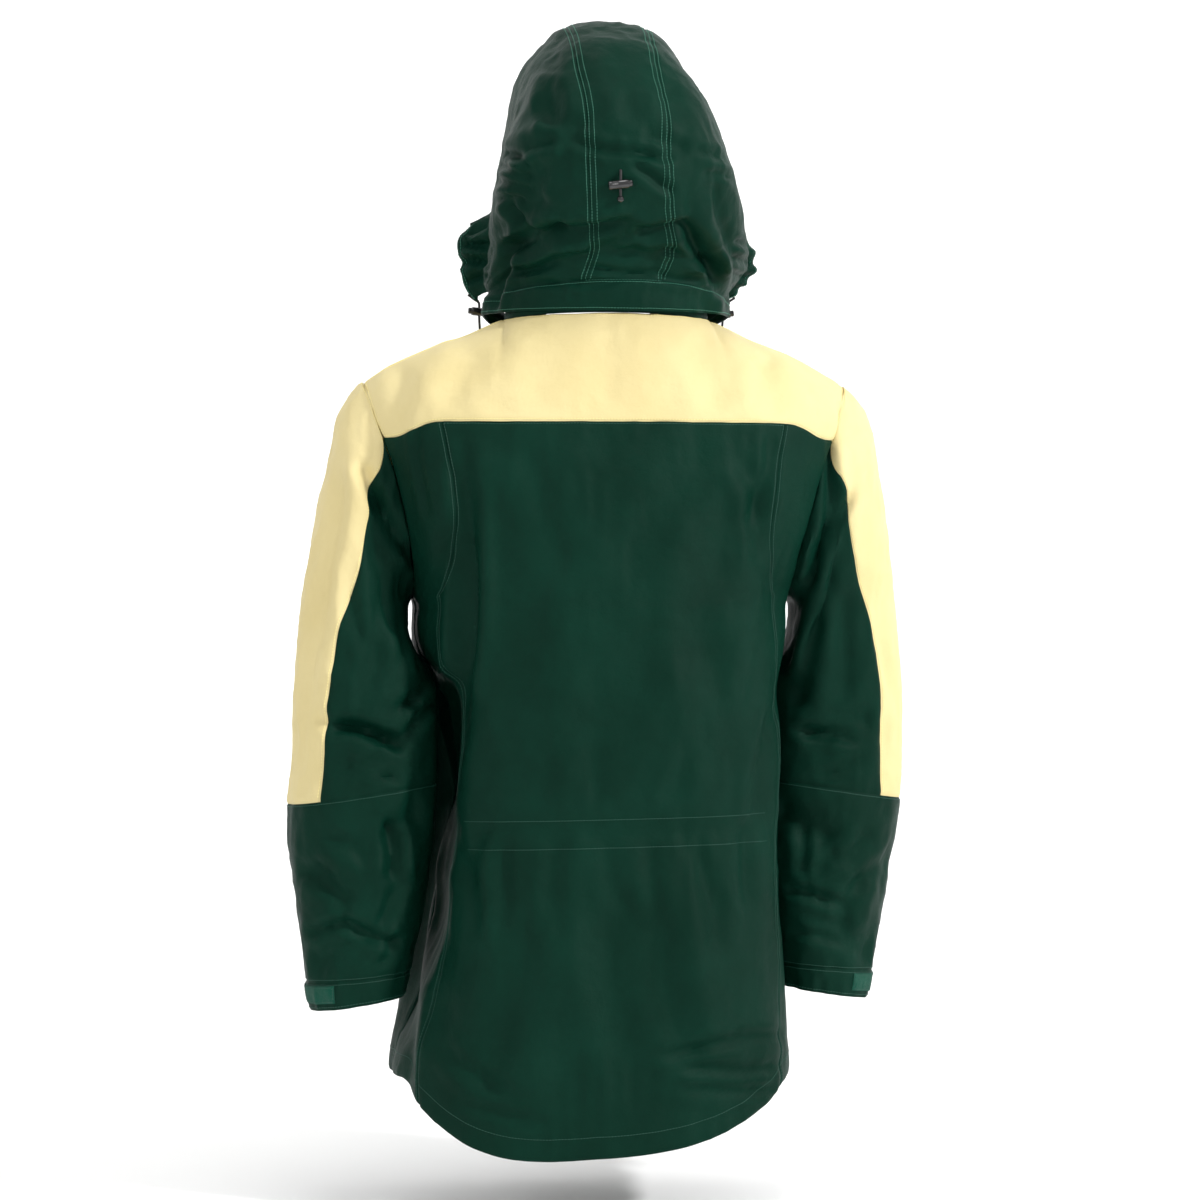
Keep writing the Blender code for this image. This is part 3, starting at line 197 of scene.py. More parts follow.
# Sleeve rings from the armhole to the cuff: outer and inner line, depth, the edge of the
# yellow panel as an angle from the outer line, and how much further out the right one is.
SLEEVE = Table(("s", "x_out", "z_out", "x_in", "z_in", "half_depth", "yellow", "right"), [
    (0, 0.2475, -0.0645, 0.193, -0.285, 0.068, 66, 0.000),
    (1, 0.2655, -0.0960, 0.200, -0.306, 0.070, 74, 0.003),
    (2, 0.2795, -0.1420, 0.197, -0.327, 0.071, 82, 0.005),
    (3, 0.2915, -0.2000, 0.189, -0.345, 0.071, 79, 0.006),
    (4, 0.3005, -0.2550, 0.179, -0.360, 0.069, 71, 0.007),
    (5, 0.3070, -0.3150, 0.170, -0.378, 0.067, 62, 0.009),
    (6, 0.3115, -0.3900, 0.166, -0.418, 0.066, 57, 0.011),
    (7, 0.3125, -0.4550, 0.166, -0.462, 0.066, 55, 0.011),
    (8, 0.3155, -0.4960, 0.167, -0.474, 0.066, 55, 0.008),
    (9, 0.3150, -0.5320, 0.168, -0.522, 0.065, 55, 0.005),
    (10, 0.3095, -0.5700, 0.172, -0.562, 0.062, 55, 0.004),
    (11, 0.3045, -0.6100, 0.177, -0.602, 0.059, 55, 0.003),
    (12, 0.2980, -0.6480, 0.184, -0.640, 0.055, 55, 0.003),
    (13, 0.2945, -0.6750, 0.189, -0.666, 0.052, 55, 0.003),
    (14, 0.2890, -0.7040, 0.194, -0.690, 0.050, 55, 0.003),
])
ELBOW = 8
CUFF_TOP = 13
CUFF_END = 14

# Hood sections, each an arch in a plane through the front of the neck: the plane's
# angle above level, the arch's reach at its crown, its half width, how square the arch
# is, how far its legs flare out near the neck, and its half width at the legs' ends.
HOOD = Table(("angle", "reach", "half_width", "squareness", "flare", "corner"), [
    (-4.0, 0.172, 0.138, 2.3, 0.000, 0.078),
    (8.5, 0.178, 0.136, 2.3, 0.000, 0.078),
    (14.0, 0.187, 0.131, 2.4, 0.000, 0.078),
    (18.0, 0.206, 0.128, 2.5, 0.000, 0.078),
    (22.0, 0.238, 0.128, 2.6, 0.000, 0.079),
    (29.0, 0.266, 0.132, 2.8, 0.000, 0.080),
    (37.0, 0.290, 0.136, 3.0, 0.000, 0.082),
    (48.0, 0.309, 0.134, 2.7, 0.000, 0.085),
    (58.0, 0.317, 0.122, 2.7, 0.002, 0.089),
    (68.0, 0.315, 0.115, 2.8, 0.008, 0.093),
    (78.0, 0.305, 0.114, 2.9, 0.018, 0.097),
    (87.0, 0.285, 0.115, 2.9, 0.031, 0.100),
    (93.0, 0.268, 0.116, 2.9, 0.040, 0.101),
    (99.5, 0.250, 0.117, 2.9, 0.043, 0.102),
])
HOOD_FLARE_REACH = 0.068
HOOD_FLARE_WIDTH = 0.038
HOOD_FLARE_FLATNESS = 4

# Sideways shift of the hood by height, on top of the figure's lean.
HOOD_SWAY = Table(("z", "x"), [
    (-0.02, -0.001),
    (0.02, -0.006),
    (0.04, -0.010),
    (0.06, -0.015),
    (0.09, -0.009),
    (0.14, -0.004),
    (0.20, -0.001),
    (0.25, 0.006),
    (0.30, 0.007),
])

FOLD_COLUMNS = ("x1", "z1", "x2", "z2", "width", "depth")


def folds(*rows):
    """Creases as named values: a straight line, its half width and its depth."""
    return [dict(zip(FOLD_COLUMNS, row)) for row in rows]


# Largest folds of the body, seen from behind and from the front.
BACK_FOLDS = folds(
    (0.166, -0.215, 0.158, -0.480, 0.016, 0.010),
    (0.158, -0.480, 0.170, -0.720, 0.017, 0.009),
    (-0.178, -0.200, -0.174, -0.400, 0.015, 0.006),
    (0.130, -0.170, 0.085, -0.330, 0.028, 0.005),
    (-0.120, -0.190, -0.070, -0.360, 0.030, 0.005),
    (-0.160, -0.519, 0.150, -0.519, 0.012, 0.003),
    (0.060, -0.600, 0.085, -0.790, 0.032, -0.005),
    (-0.070, -0.570, -0.095, -0.780, 0.032, -0.005),
    (-0.010, -0.580, 0.000, -0.740, 0.028, 0.004))
FRONT_FOLDS = folds(
    (0.160, -0.230, 0.110, -0.360, 0.024, 0.008),
    (-0.155, -0.235, -0.100, -0.380, 0.026, 0.008),
    (0.090, -0.480, 0.120, -0.720, 0.034, 0.007),
    (-0.100, -0.460, -0.085, -0.700, 0.032, 0.007),
    (0.150, -0.420, 0.170, -0.640, 0.020, 0.006))

# Largest folds of a sleeve, over arc length from the outer line and height.
SLEEVE_FOLDS = folds(
    (0.100, -0.170, 0.150, -0.330, 0.015, 0.008),
    (0.080, -0.410, 0.145, -0.430, 0.014, 0.008),
    (0.150, -0.395, 0.200, -0.345, 0.015, 0.007),
    (0.110, -0.540, 0.175, -0.505, 0.017, 0.009),
    (0.040, -0.655, 0.120, -0.625, 0.014, 0.006),
    (-0.110, -0.410, -0.050, -0.440, 0.016, 0.006),
    (-0.150, -0.480, -0.080, -0.520, 0.017, 0.007),
    (-0.120, -0.620, -0.040, -0.650, 0.014, 0.005),
    (0.030, -0.560, 0.090, -0.580, 0.016, 0.005))

# Largest folds of the hood, seen from behind.
HOOD_FOLDS = folds(
    (0.085, 0.205, 0.045, 0.172, 0.014, 0.006),
    (-0.018, 0.168, -0.062, 0.158, 0.012, 0.005),
    (-0.085, 0.130, -0.115, 0.060, 0.016, 0.008),
    (0.085, 0.150, 0.105, 0.070, 0.016, 0.008),
    (0.060, 0.290, 0.075, 0.240, 0.014, 0.004))


def smooth_step(t):
    t = np.clip(t, 0.0, 1.0)
    return t * t * (3 - 2 * t)


def between(start, end, share):
    return start + (end - start) * share


def signed_power(value, power):
    return np.sign(value) * np.abs(value) ** power


def fold_depth(creases, across, height):
    """Sum of soft creases, each a bell around a line that fades at both ends."""
    total = np.zeros(np.broadcast(across, height).shape)
    for fold in creases:
        run = np.array((fold["x2"] - fold["x1"], fold["z2"] - fold["z1"]))
        length = math.hypot(*run)
        along = ((across - fold["x1"]) * run[0] + (height - fold["z1"]) * run[1]) / length
        beside = ((across - fold["x1"]) * run[1] - (height - fold["z1"]) * run[0]) / length
        share = along / length
        ends = smooth_step(share * 4 + 0.5) * smooth_step((1 - share) * 4 + 0.5)
        total = total + fold["depth"] * ends * np.exp(-(beside / fold["width"]) ** 2)
    return total


def arc_length(points):
    """Distance along a line of points, from its first one."""
    return np.concatenate([[0], np.cumsum(np.linalg.norm(np.diff(points, axis=0), axis=1))])


def normals_of(surface, u, v, flip, step=0.002):
    """Unit normals of a surface, from small differences along u and v."""
    along_u = surface(u + step, v) - surface(u - step, v)
    along_v = surface(u, v + step) - surface(u, v - step)
    normal = np.cross(along_u, along_v) * flip
    return normal / np.maximum(np.linalg.norm(normal, axis=-1, keepdims=True), 1e-12)


def with_folds(surface, flip, depth_of):
    """The same surface, pressed in along its normal by depth_of(points)."""
    def folded(u, v):
        points = surface(u, v)
        return points - normals_of(surface, u, v, flip) * depth_of(points)[..., None]
    return folded


# ------------------------------------------------------------------------------ body
def armhole_reach(z, half):
    """Distance of the armhole edge from the shoulder line, back (1) or front (-1)."""
    depth = ARMHOLE_BACK_DEPTH if half > 0 else ARMHOLE_FRONT_DEPTH
    above = (z - ARMHOLE_MID_Z) / (ARMHOLE_TOP_Z - ARMHOLE_MID_Z)
    below = (ARMHOLE_MID_Z - z) / (ARMHOLE_MID_Z - UNDERARM_Z)
    share = np.clip(np.where(z > ARMHOLE_MID_Z, above, below), 0, 1)
    seam = np.where(z > ARMHOLE_MID_Z, half * SHOULDER_SEAM_Y * share ** 2, 0)
    return depth * np.sqrt(1 - share ** 2) + seam


def body_section(half, share, z):
    """Point of a level section, from the centre (share 0) to the side (share 1)."""
    depth = BODY.at("back" if half > 0 else "front", z)
    reach = armhole_reach(z, half)
    turn = np.arccos(np.clip(reach / depth, 0, 1) ** (1 / BODY_ROUNDNESS))
    angle = np.abs(share) * turn
    x = BODY.at("half_width", z) * signed_power(np.sin(angle) / np.sin(turn), BODY_ROUNDNESS)
    y = half * depth * signed_power(np.cos(angle), BODY_ROUNDNESS)
    for side in (1, -1):
        bell = np.exp(-((y - ARM_GROOVE_Y[side]) / ARM_GROOVE_WIDTH) ** 2)
        x = x - np.where(share * side > 0, BODY.at("groove", z) * bell, 0) * smooth_step(
            np.abs(share) * 2)
    return np.stack([x * np.sign(share), y, z * np.ones_like(x)], axis=-1)


def yoke_seam_height(half, share):
    if half < 0:
        return FRONT_YOKE_SEAM_Z + 0 * share
    drop = smooth_step((np.abs(share) - YOKE_DROP_FROM) / YOKE_DROP_SPAN)
    return YOKE_SEAM_Z - YOKE_SEAM_DROP * drop


def hem_height(half, share):
    if half < 0:
        return SIDE_HEM_Z + 0 * share
    inward = np.clip(np.abs(share) / TAIL_SPAN, 0, 1)
    tilt = TAIL_TILT * share * (1 - inward)
    return SIDE_HEM_Z - TAIL_DROP * (1 - inward ** TAIL_FLATNESS) ** TAIL_CORNER - tilt


def top_edge(half, share):
    """Neck edge near the centre, then the shoulder seam out to the armhole."""
    size = np.abs(share)
    turn = np.clip(size / NECK_SHARE, 0, 1) * math.pi / 2
    neck_y = NECK_BACK_Y if half > 0 else NECK_FRONT_Y
    neck_z = NECK_BACK_Z if half > 0 else NECK_FRONT_Z
    neck = np.stack([
        NECK_HALF_WIDTH * np.sin(turn),
        SHOULDER_SEAM_Y + (neck_y - SHOULDER_SEAM_Y) * np.cos(turn),
        NECK_SIDE_Z + (neck_z - NECK_SIDE_Z) * np.cos(turn) ** 1.3], axis=-1)
    out = np.clip((size - NECK_SHARE) / (1 - NECK_SHARE), 0, 1)
    x = NECK_HALF_WIDTH + (SHOULDER_TIP_X - NECK_HALF_WIDTH) * out
    ridge = np.stack([x, SHOULDER_SEAM_Y + 0 * x, SHOULDER.at("z", x) - 0.005], axis=-1)
    point = np.where((size < NECK_SHARE)[..., None], neck, ridge)
    point[..., 0] *= np.sign(share)
    return point


def body_base(half):
    """Body surface over share (-1 to 1) and level: 0 top edge, 1 yoke seam, 2 hem."""
    def surface(share, level):
        share, level = np.broadcast_arrays(np.asarray(share, float), level)
        seam_z = yoke_seam_height(half, share)
        down = np.maximum(level - 1, 0)
        z = seam_z + (hem_height(half, share) - seam_z) * down
        lower = body_section(half, share, z)
        start = top_edge(half, share)
        end = body_section(half, share, seam_z)
        below = body_section(half, share, seam_z - 0.004)
        fall = np.radians(TOP_FALL.at("back" if half > 0 else "front", np.abs(share)))
        leave = np.stack([0 * fall, half * np.cos(fall), -np.sin(fall)], axis=-1)
        arrive = (below - end) / np.linalg.norm(below - end, axis=-1, keepdims=True)
        reach = 1.15 * np.linalg.norm(end - start, axis=-1, keepdims=True)
        t = np.minimum(level, 1)[..., None]
        upper = (start * (1 + 2 * t) * (1 - t) ** 2 + end * t ** 2 * (3 - 2 * t)
                 + reach * (leave * t * (1 - t) ** 2 - arrive * t ** 2 * (1 - t)))
        return np.where((level < 1)[..., None], upper, lower)
    return surface


BODY_FLIP = {1: 1, -1: -1}
BODY_SURFACE = {
    1: with_folds(body_base(1), BODY_FLIP[1],
                  lambda p: fold_depth(BACK_FOLDS, p[..., 0], p[..., 2])),
    -1: with_folds(body_base(-1), BODY_FLIP[-1],
                   lambda p: fold_depth(FRONT_FOLDS, p[..., 0], p[..., 2])),
}


def underarm_level(half):
    """Level at which the body's outer edge stops being armhole and becomes side seam."""
    seam_z = float(yoke_seam_height(half, np.array(1.0)))
    return 1 + (seam_z - UNDERARM_Z) / (seam_z - SIDE_HEM_Z)


YOKE_ROWS = 5
ARMHOLE_ROWS = 5
LOWER_ROWS = 12


def yoke_levels():
    return np.linspace(0, 1, YOKE_ROWS + 1)


def armhole_levels(half):
    return np.linspace(1, underarm_level(half), ARMHOLE_ROWS + 1)


def lower_levels(half):
    rest = np.linspace(underarm_level(half), 2, LOWER_ROWS + 1)
    return np.concatenate([armhole_levels(half), rest[1:]])


# ---------------------------------------------------------------------------- sleeve
def armhole_angles(half):
    """Angle of each armhole point on the sleeve's first ring, 0 at the top."""
    levels = np.concatenate([yoke_levels(), armhole_levels(half)[1:]])
    points = BODY_SURFACE[half](np.ones_like(levels), levels)
    arc = arc_length(points)
    return levels, 180 * arc / arc[-1]


ARMHOLE_LOOKUP = {half: armhole_angles(half) for half in (1, -1)}


def armhole_point(side, angle):
    """Armhole edge at an angle: positive on the back, negative on the front."""
    result = np.zeros(angle.shape + (3,))
    for half in (1, -1):
        levels, angles = ARMHOLE_LOOKUP[half]
        level = np.interp(np.abs(angle), angles, levels)
        point = BODY_SURFACE[half](np.full_like(level, float(side)), level)
        here = (np.where(angle >= 0, 1, -1) == half)
        result = np.where(here[..., None], point, result)
    return result


def sleeve_base(side):
    """Sleeve surface over angle (degrees from the outer line, + at the back) and row."""
    def surface(angle, row):
        angle, row = np.broadcast_arrays(np.asarray(angle, float), row)
        turn = np.radians(angle)
        extra = SLEEVE.at("right", row) if side < 0 else 0
        middle_x = (SLEEVE.at("x_out", row) + SLEEVE.at("x_in", row)) / 2 + extra
        middle_z = (SLEEVE.at("z_out", row) + SLEEVE.at("z_in", row)) / 2
        reach_x = (SLEEVE.at("x_out", row) - SLEEVE.at("x_in", row)) / 2
        reach_z = SLEEVE.at("z_out", row) - middle_z
        settle = smooth_step(row / 6)
        out = signed_power(np.cos(turn), 0.92)
        back = signed_power(np.sin(turn), 0.92)
        ring = np.stack([
            side * (middle_x + reach_x * out),
            ARM_SHIFT_Y[side] * settle + SLEEVE.at("half_depth", row) * back,
            middle_z + reach_z * out], axis=-1)
        settled = smooth_step(row / 2.5)
        leaves = between(SLEEVE_LEAVES_TOP, SLEEVE_LEAVES_UNDER, (1 - np.cos(turn)) / 2)
        blend = np.stack([smooth_step(row / leaves), settled, settled], axis=-1)
        wrapped = (angle + 180) % 360 - 180
        return armhole_point(side, wrapped) * (1 - blend) + ring * blend
    return surface


def sleeve_surface(side):
    base = sleeve_base(side)

    def folded(angle, row):
        points = base(angle, row)
        wrapped = (np.asarray(angle, float) + 180) % 360 - 180
        arc = np.radians(wrapped) * SLEEVE_RADIUS
        depth = fold_depth(SLEEVE_FOLDS, arc, points[..., 2]) * smooth_step((row - 0.5) / 1.5)
        return points - normals_of(base, angle, row, -side) * depth[..., None]
    return folded


# ------------------------------------------------------------------------------ hood
def hood_base(across, angle):
    """Hood surface over across (-1 to 1, left leg to right leg) and plane angle."""
    across, angle = np.broadcast_arrays(np.asarray(across, float), angle)
    turn = across * math.pi / 2
    power = 2 / HOOD.at("squareness", angle)
    radius = HOOD.at("reach", angle) * signed_power(np.cos(turn), power)
    near = smooth_step(radius / HOOD_CORNER_REACH)
    full = HOOD.at("half_width", angle)
    width = between(HOOD.at("corner", angle), full, near)
    tilt = np.radians(angle)
    off = np.abs(radius - HOOD_FLARE_REACH) / HOOD_FLARE_WIDTH
    bell = np.exp(-off ** HOOD_FLARE_FLATNESS)
    flare = HOOD.at("flare", angle) * bell * np.sin(turn) ** 2 * np.sign(across)
    z = HOOD_PIVOT_Z - HOOD_CORNER_DROP * (1 - near) + radius * np.sin(tilt)
    return np.stack([
        width * signed_power(np.sin(turn), power) + flare + HOOD_SWAY.at("x", z),
        HOOD_PIVOT_Y + radius * np.cos(tilt), z], axis=-1)


HOOD_SURFACE = with_folds(hood_base, -1, lambda p: fold_depth(HOOD_FOLDS, p[..., 0], p[..., 2]))


def hood_seam_across(angle):
    """Place across the arch where the panel seam runs, at a fixed distance from centre."""
    share = HOOD_SEAM_X / HOOD.at("half_width", angle)
    return np.arcsin(share ** (HOOD.at("squareness", angle) / 2)) * 2 / math.pi


# ---------------------------------------------------------------------------- collar
def collar_surface(turn, rise):
    """Collar over turn (-1 to 1 around the neck, 0 at the back) and rise (0 to 1)."""
    turn, rise = np.broadcast_arrays(np.asarray(turn, float), rise)
    share = np.where(np.abs(turn) < 0.5, np.abs(turn) * 2, (1 - np.abs(turn)) * 2)
    back = top_edge(1, share * NECK_SHARE)
    front = top_edge(-1, share * NECK_SHARE)
    edge = np.where((np.abs(turn) < 0.5)[..., None], back, front)
    forward = smooth_step((np.abs(turn) - 0.5) * 2)
    size = 1 - (1 - COLLAR_LEAN) * rise
    height = COLLAR_HEIGHT_BACK + (COLLAR_HEIGHT_FRONT - COLLAR_HEIGHT_BACK) * forward
    return np.stack([
        edge[..., 0] * size * np.sign(turn),
        edge[..., 1] * size,
        edge[..., 2] + COLLAR_GAP + height * rise], axis=-1)


def lean(points):
    """Sideways lean of the whole figure, growing with height."""
    moved = np.array(points, float)
    moved[..., 0] += LEAN_X * (1 - moved[..., 2] / LEAN_Z)
    return moved


def zip_path():
    """Centre-front line from the hem up to the collar's top, with outward directions."""
    body_levels = np.concatenate([lower_levels(-1)[::-1], yoke_levels()[-2::-1]])
    body = BODY_SURFACE[-1](np.full_like(body_levels, 1e-6), body_levels)
    rise = np.array((0.25, 0.5, 0.75, 1.0))
    upper = collar_surface(np.full_like(rise, 1.0), rise)
    path = np.concatenate([body, upper])
    path[:, 0] = 0
    path[0, 2] += ZIP_END_MARGIN
    path[-1, 2] -= ZIP_END_MARGIN
    way = np.gradient(path, axis=0)
    outward = np.stack([0 * way[:, 0], -way[:, 2], way[:, 1]], axis=-1)
    return path, outward / np.linalg.norm(outward, axis=-1, keepdims=True)


def hood_place(x, z):
    """Point and outward direction of the hood's back at a place seen from behind."""
    angles = np.linspace(HOOD_BAND_TOP, 60, 200)
    heights = HOOD_SURFACE(np.zeros_like(angles), angles)[:, 2]
    angle = float(np.interp(z, heights, angles))
    x = x - float(HOOD_SWAY.at("x", z))
    share = abs(x) / float(HOOD.at("half_width", angle))
    turn = math.asin(share ** (float(HOOD.at("squareness", angle)) / 2))
    across = math.copysign(turn * 2 / math.pi, x)
    u, v = np.array([across]), np.array([angle])
    return lean(HOOD_SURFACE(u, v)[0]), normals_of(HOOD_SURFACE, u, v, -1)[0]


def smooth_route(points, count):
    """Points on a smooth curve through a few given ones."""
    points = np.array(points, float)
    knots = arc_length(points)
    table = Table(("t", "x", "y", "z"), [(k, *p) for k, p in zip(knots, points)])
    where = np.linspace(0, knots[-1], count)
    return np.stack([table.at(axis, where) for axis in "xyz"], axis=-1)


# Share at which the front's edge clears the zip, by level.
FRONT_START = Table(("level", "share"), [
    (0.0, 0.0088),
    (0.5, 0.0062),
    (1.0, 0.0044),
    (2.0, 0.0044),
])

# Route of each front cord from the hood's edge, as steps from its exit point: first to
# its lock, and from below the lock to its knot. x is away from the wearer's middle.
FRONT_CORD_UPPER = [(0.000, 0.000, 0.000), (-0.006, -0.004, -0.004),
                    (-0.0118, -0.006, -0.0082), (-0.012, -0.006, -0.0115)]
FRONT_CORD_LOWER = [(-0.012, -0.006, -0.0225), (-0.013, -0.009, -0.036),
                    (-0.015, -0.014, -0.050), (-0.018, -0.020, -0.062)]
FRONT_LOCK_STEP = (-0.012, -0.006, -0.0173)
FRONT_EXIT_ACROSS = 0.957
FRONT_EXIT_ANGLE = 98.0


# ------------------------------------------------------------- creases as the eye sees them
# The main creases, each from one end to the other, as the camera sees the back: right and
# down from the frame's top left corner, with FRAME_SIDE units to its side. The half width is
# in the same units. The depth is in steps of CREASE_DEPTH, and a negative one is a ridge.
CREASE_DEPTH = 0.0025
CREASE_COLUMNS = ("x1", "y1", "x2", "y2", "width", "depth")
HOOD_CREASES = [
    (505, 156, 553, 141, 7, 2.6), (579, 139, 648, 158, 5, 1.6), (640, 156, 672, 155, 5, 1.4),
    (633, 167, 672, 188, 5, 1.8), (516, 246, 560, 230, 8, 4.6), (560, 230, 622, 227, 7, 4.2),
    (626, 234, 592, 247, 5, 2.4), (642, 230, 684, 228, 6, 3.0), (684, 228, 710, 262, 7, 3.6),
    (708, 262, 722, 294, 6, 3.0), (533, 228, 508, 250, 6, 3.4), (507, 250, 498, 304, 5, 3.6),
    (511, 204, 528, 232, 5, 3.2), (704, 190, 722, 262, 7, -3.0), (722, 268, 719, 316, 6, -2.4),
    (505, 150, 528, 168, 4, 1.6), (502, 166, 530, 176, 4, 1.8), (500, 182, 530, 188, 4, 1.5),
    (499, 198, 524, 200, 4, 1.7), (700, 150, 722, 158, 4, 1.2), (706, 172, 730, 178, 4, 1.4),
    (574, 252, 640, 255, 5, 1.5), (590, 268, 648, 272, 4, 1.3), (572, 282, 620, 280, 4, 1.1),
    (664, 252, 700, 262, 4, 1.5), (660, 274, 698, 281, 4, 1.3), (516, 270, 556, 262, 5, 1.8),
    (512, 288, 556, 284, 4, 1.2), (600, 60, 612, 120, 12, -1.2), (545, 84, 556, 122, 9, 1.4),
    (668, 90, 686, 130, 10, 1.3), (540, 200, 562, 214, 6, 1.2),
    (466, 232, 486, 226, 4, 2.0), (464, 246, 488, 243, 4, 2.2), (462, 262, 486, 262, 4, 2.0),
    (467, 280, 488, 276, 4, 1.8), (756, 246, 738, 240, 4, 2.0), (757, 262, 736, 259, 4, 2.2),
    (752, 278, 734, 275, 4, 1.8), (746, 290, 732, 288, 4, 1.4),
]
BODY_CREASES = [
    (438, 520, 436, 1040, 9, 5.0), (422, 432, 423, 506, 4, 1.2), (456, 560, 470, 660, 10, 1.6),
    (470, 700, 462, 790, 9, 1.8), (452, 800, 470, 880, 8, 2.0), (478, 838, 470, 930, 9, 1.8),
    (520, 460, 566, 560, 16, 1.3), (690, 455, 640, 570, 18, 1.3), (745, 470, 764, 560, 10, 2.2),
    (770, 440, 752, 520, 8, 1.8), (765, 580, 758, 700, 9, 1.6), (772, 700, 764, 820, 8, 1.9),
    (740, 828, 752, 900, 8, 1.8), (700, 850, 712, 940, 9, 1.3), (560, 850, 552, 930, 10, 1.2),
    (610, 848, 618, 905, 9, 0.9), (655, 850, 650, 915, 8, 1.0), (505, 850, 498, 925, 8, 1.2),
    (540, 800, 548, 760, 9, 0.9), (600, 800, 594, 748, 10, 0.8), (672, 798, 684, 745, 9, 0.9),
    (520, 930, 500, 1080, 18, 1.8), (580, 950, 590, 1100, 22, -1.6), (660, 930, 690, 1060, 18, 1.8),
    (668, 1050, 770, 1041, 6, 1.8), (684, 1072, 772, 1062, 6, 1.6), (690, 1094, 764, 1084, 6, 1.4),
    (446, 1050, 500, 1088, 8, 1.4), (470, 1110, 540, 1118, 6, 0.9), (455, 470, 446, 540, 7, 1.7),
    (640, 640, 600, 770, 26, 0.9), (560, 600, 540, 720, 24, -0.9), (700, 620, 716, 760, 20, 1.0),
]
YOKE_CREASES = [
    (470, 350, 452, 404, 14, 1.3), (520, 336, 510, 400, 18, -0.9), (700, 340, 716, 404, 16, 1.2),
    (760, 365, 778, 410, 12, 1.3), (400, 372, 398, 428, 10, 1.2), (600, 345, 604, 400, 20, 0.7),
    (366, 430, 352, 470, 6, 1.3), (840, 410, 852, 470, 7, 1.3),
]
SLEEVE_CREASES = [
    (366, 466, 376, 508, 7, 3.2), (376, 508, 410, 548, 7, 2.8), (410, 548, 426, 582, 6, 2.2),
    (325, 480, 322, 690, 9, 2.2), (343, 727, 396, 742, 7, 4.0), (402, 708, 434, 672, 6, 2.8),
    (404, 735, 434, 705, 6, 2.6), (374, 775, 398, 780, 4, 1.6), (312, 934, 345, 923, 6, 2.4),
    (345, 923, 394, 941, 6, 2.4), (392, 826, 390, 876, 8, 4.2), (352, 560, 360, 640, 8, 1.8),
    (380, 600, 366, 690, 10, 1.9), (404, 590, 398, 660, 7, 1.6), (345, 770, 380, 756, 6, 1.6),
    (330, 838, 366, 860, 8, 1.8), (312, 870, 344, 898, 8, 1.9), (404, 880, 378, 924, 7, 2.0),
    (350, 880, 344, 915, 7, 1.3), (398, 940, 380, 962, 5, 1.3), (318, 720, 340, 730, 7, 1.5),
    (832, 449, 819, 545, 6, 3.0), (819, 545, 809, 580, 5, 2.4), (848, 500, 812, 580, 6, 2.2),
    (816, 872, 834, 850, 6, 1.8), (790, 893, 840, 900, 6, 2.2), (850, 600, 838, 690, 9, 1.8),
    (816, 620, 806, 700, 8, 1.7), (800, 728, 850, 742, 6, 2.2), (858, 760, 822, 776, 5, 1.5),
    (870, 836, 838, 862, 8, 1.7), (862, 880, 836, 925, 8, 1.6), (800, 930, 836, 944, 5, 1.4),
    (886, 600, 892, 690, 7, 1.5), (888, 720, 880, 780, 6, 1.2), (806, 830, 800, 872, 6, 1.6),
]
# The same kind of creases on the front, which the camera never sees: the ends in metres from
# the wearer's middle and from the neck, the half width in millimetres, the depth as above.
FRONT_CREASES = [
    (0.045, -0.12, 0.100, -0.235, 14, 1.8), (-0.050, -0.13, -0.094, -0.250, 13, 1.6),
    (0.150, -0.18, 0.120, -0.300, 11, 2.4), (-0.158, -0.20, -0.118, -0.290, 10, 2.2),
    (0.030, -0.30, 0.062, -0.460, 18, 1.4), (-0.042, -0.33, -0.070, -0.450, 17, 1.5),
    (0.110, -0.50, 0.150, -0.530, 8, 2.2), (-0.100, -0.51, -0.155, -0.545, 8, 2.4),
    (0.060, -0.56, 0.072, -0.700, 18, 1.6), (-0.075, -0.58, -0.060, -0.710, 17, 1.4),
    (0.020, -0.60, 0.026, -0.740, 13, -1.0), (-0.140, -0.61, -0.128, -0.730, 14, 1.6),
    (0.140, -0.63, 0.156, -0.750, 13, 1.7),
]
CREASE_BEND = 0.06       # how far a crease bows sideways, as a part of its length
CREASE_LIP = 0.45        # height of the lip beside a crease, as a part of its depth
MILLIMETRE = 0.001
EYE_TURN = math.radians(7)
EYE_DISTANCE = 3.7
EYE_AIM = 0.0103         # the frame's middle, right of the neck's middle
EYE_AIM_Z = -0.29
EYE_FRAME = 1.236        # width of the frame at the aim, in metres
FRAME_SIDE = 1200
EYE_RIGHT = np.array((-math.cos(EYE_TURN), math.sin(EYE_TURN), 0.0))
EYE_WAY = np.array((-math.sin(EYE_TURN), -math.cos(EYE_TURN), 0.0))
EYE_AT = np.array((0, 0, EYE_AIM_Z)) + EYE_RIGHT * EYE_AIM - EYE_WAY * EYE_DISTANCE


def seen_place(points):
    """Where leaned points stand in the frame, right and down, in the creases' units."""
    away = points - EYE_AT
    depth = away @ EYE_WAY
    scale = FRAME_SIDE * EYE_DISTANCE / (EYE_FRAME * depth)
    return FRAME_SIDE / 2 + (away @ EYE_RIGHT) * scale, FRAME_SIDE / 2 - away[..., 2] * scale


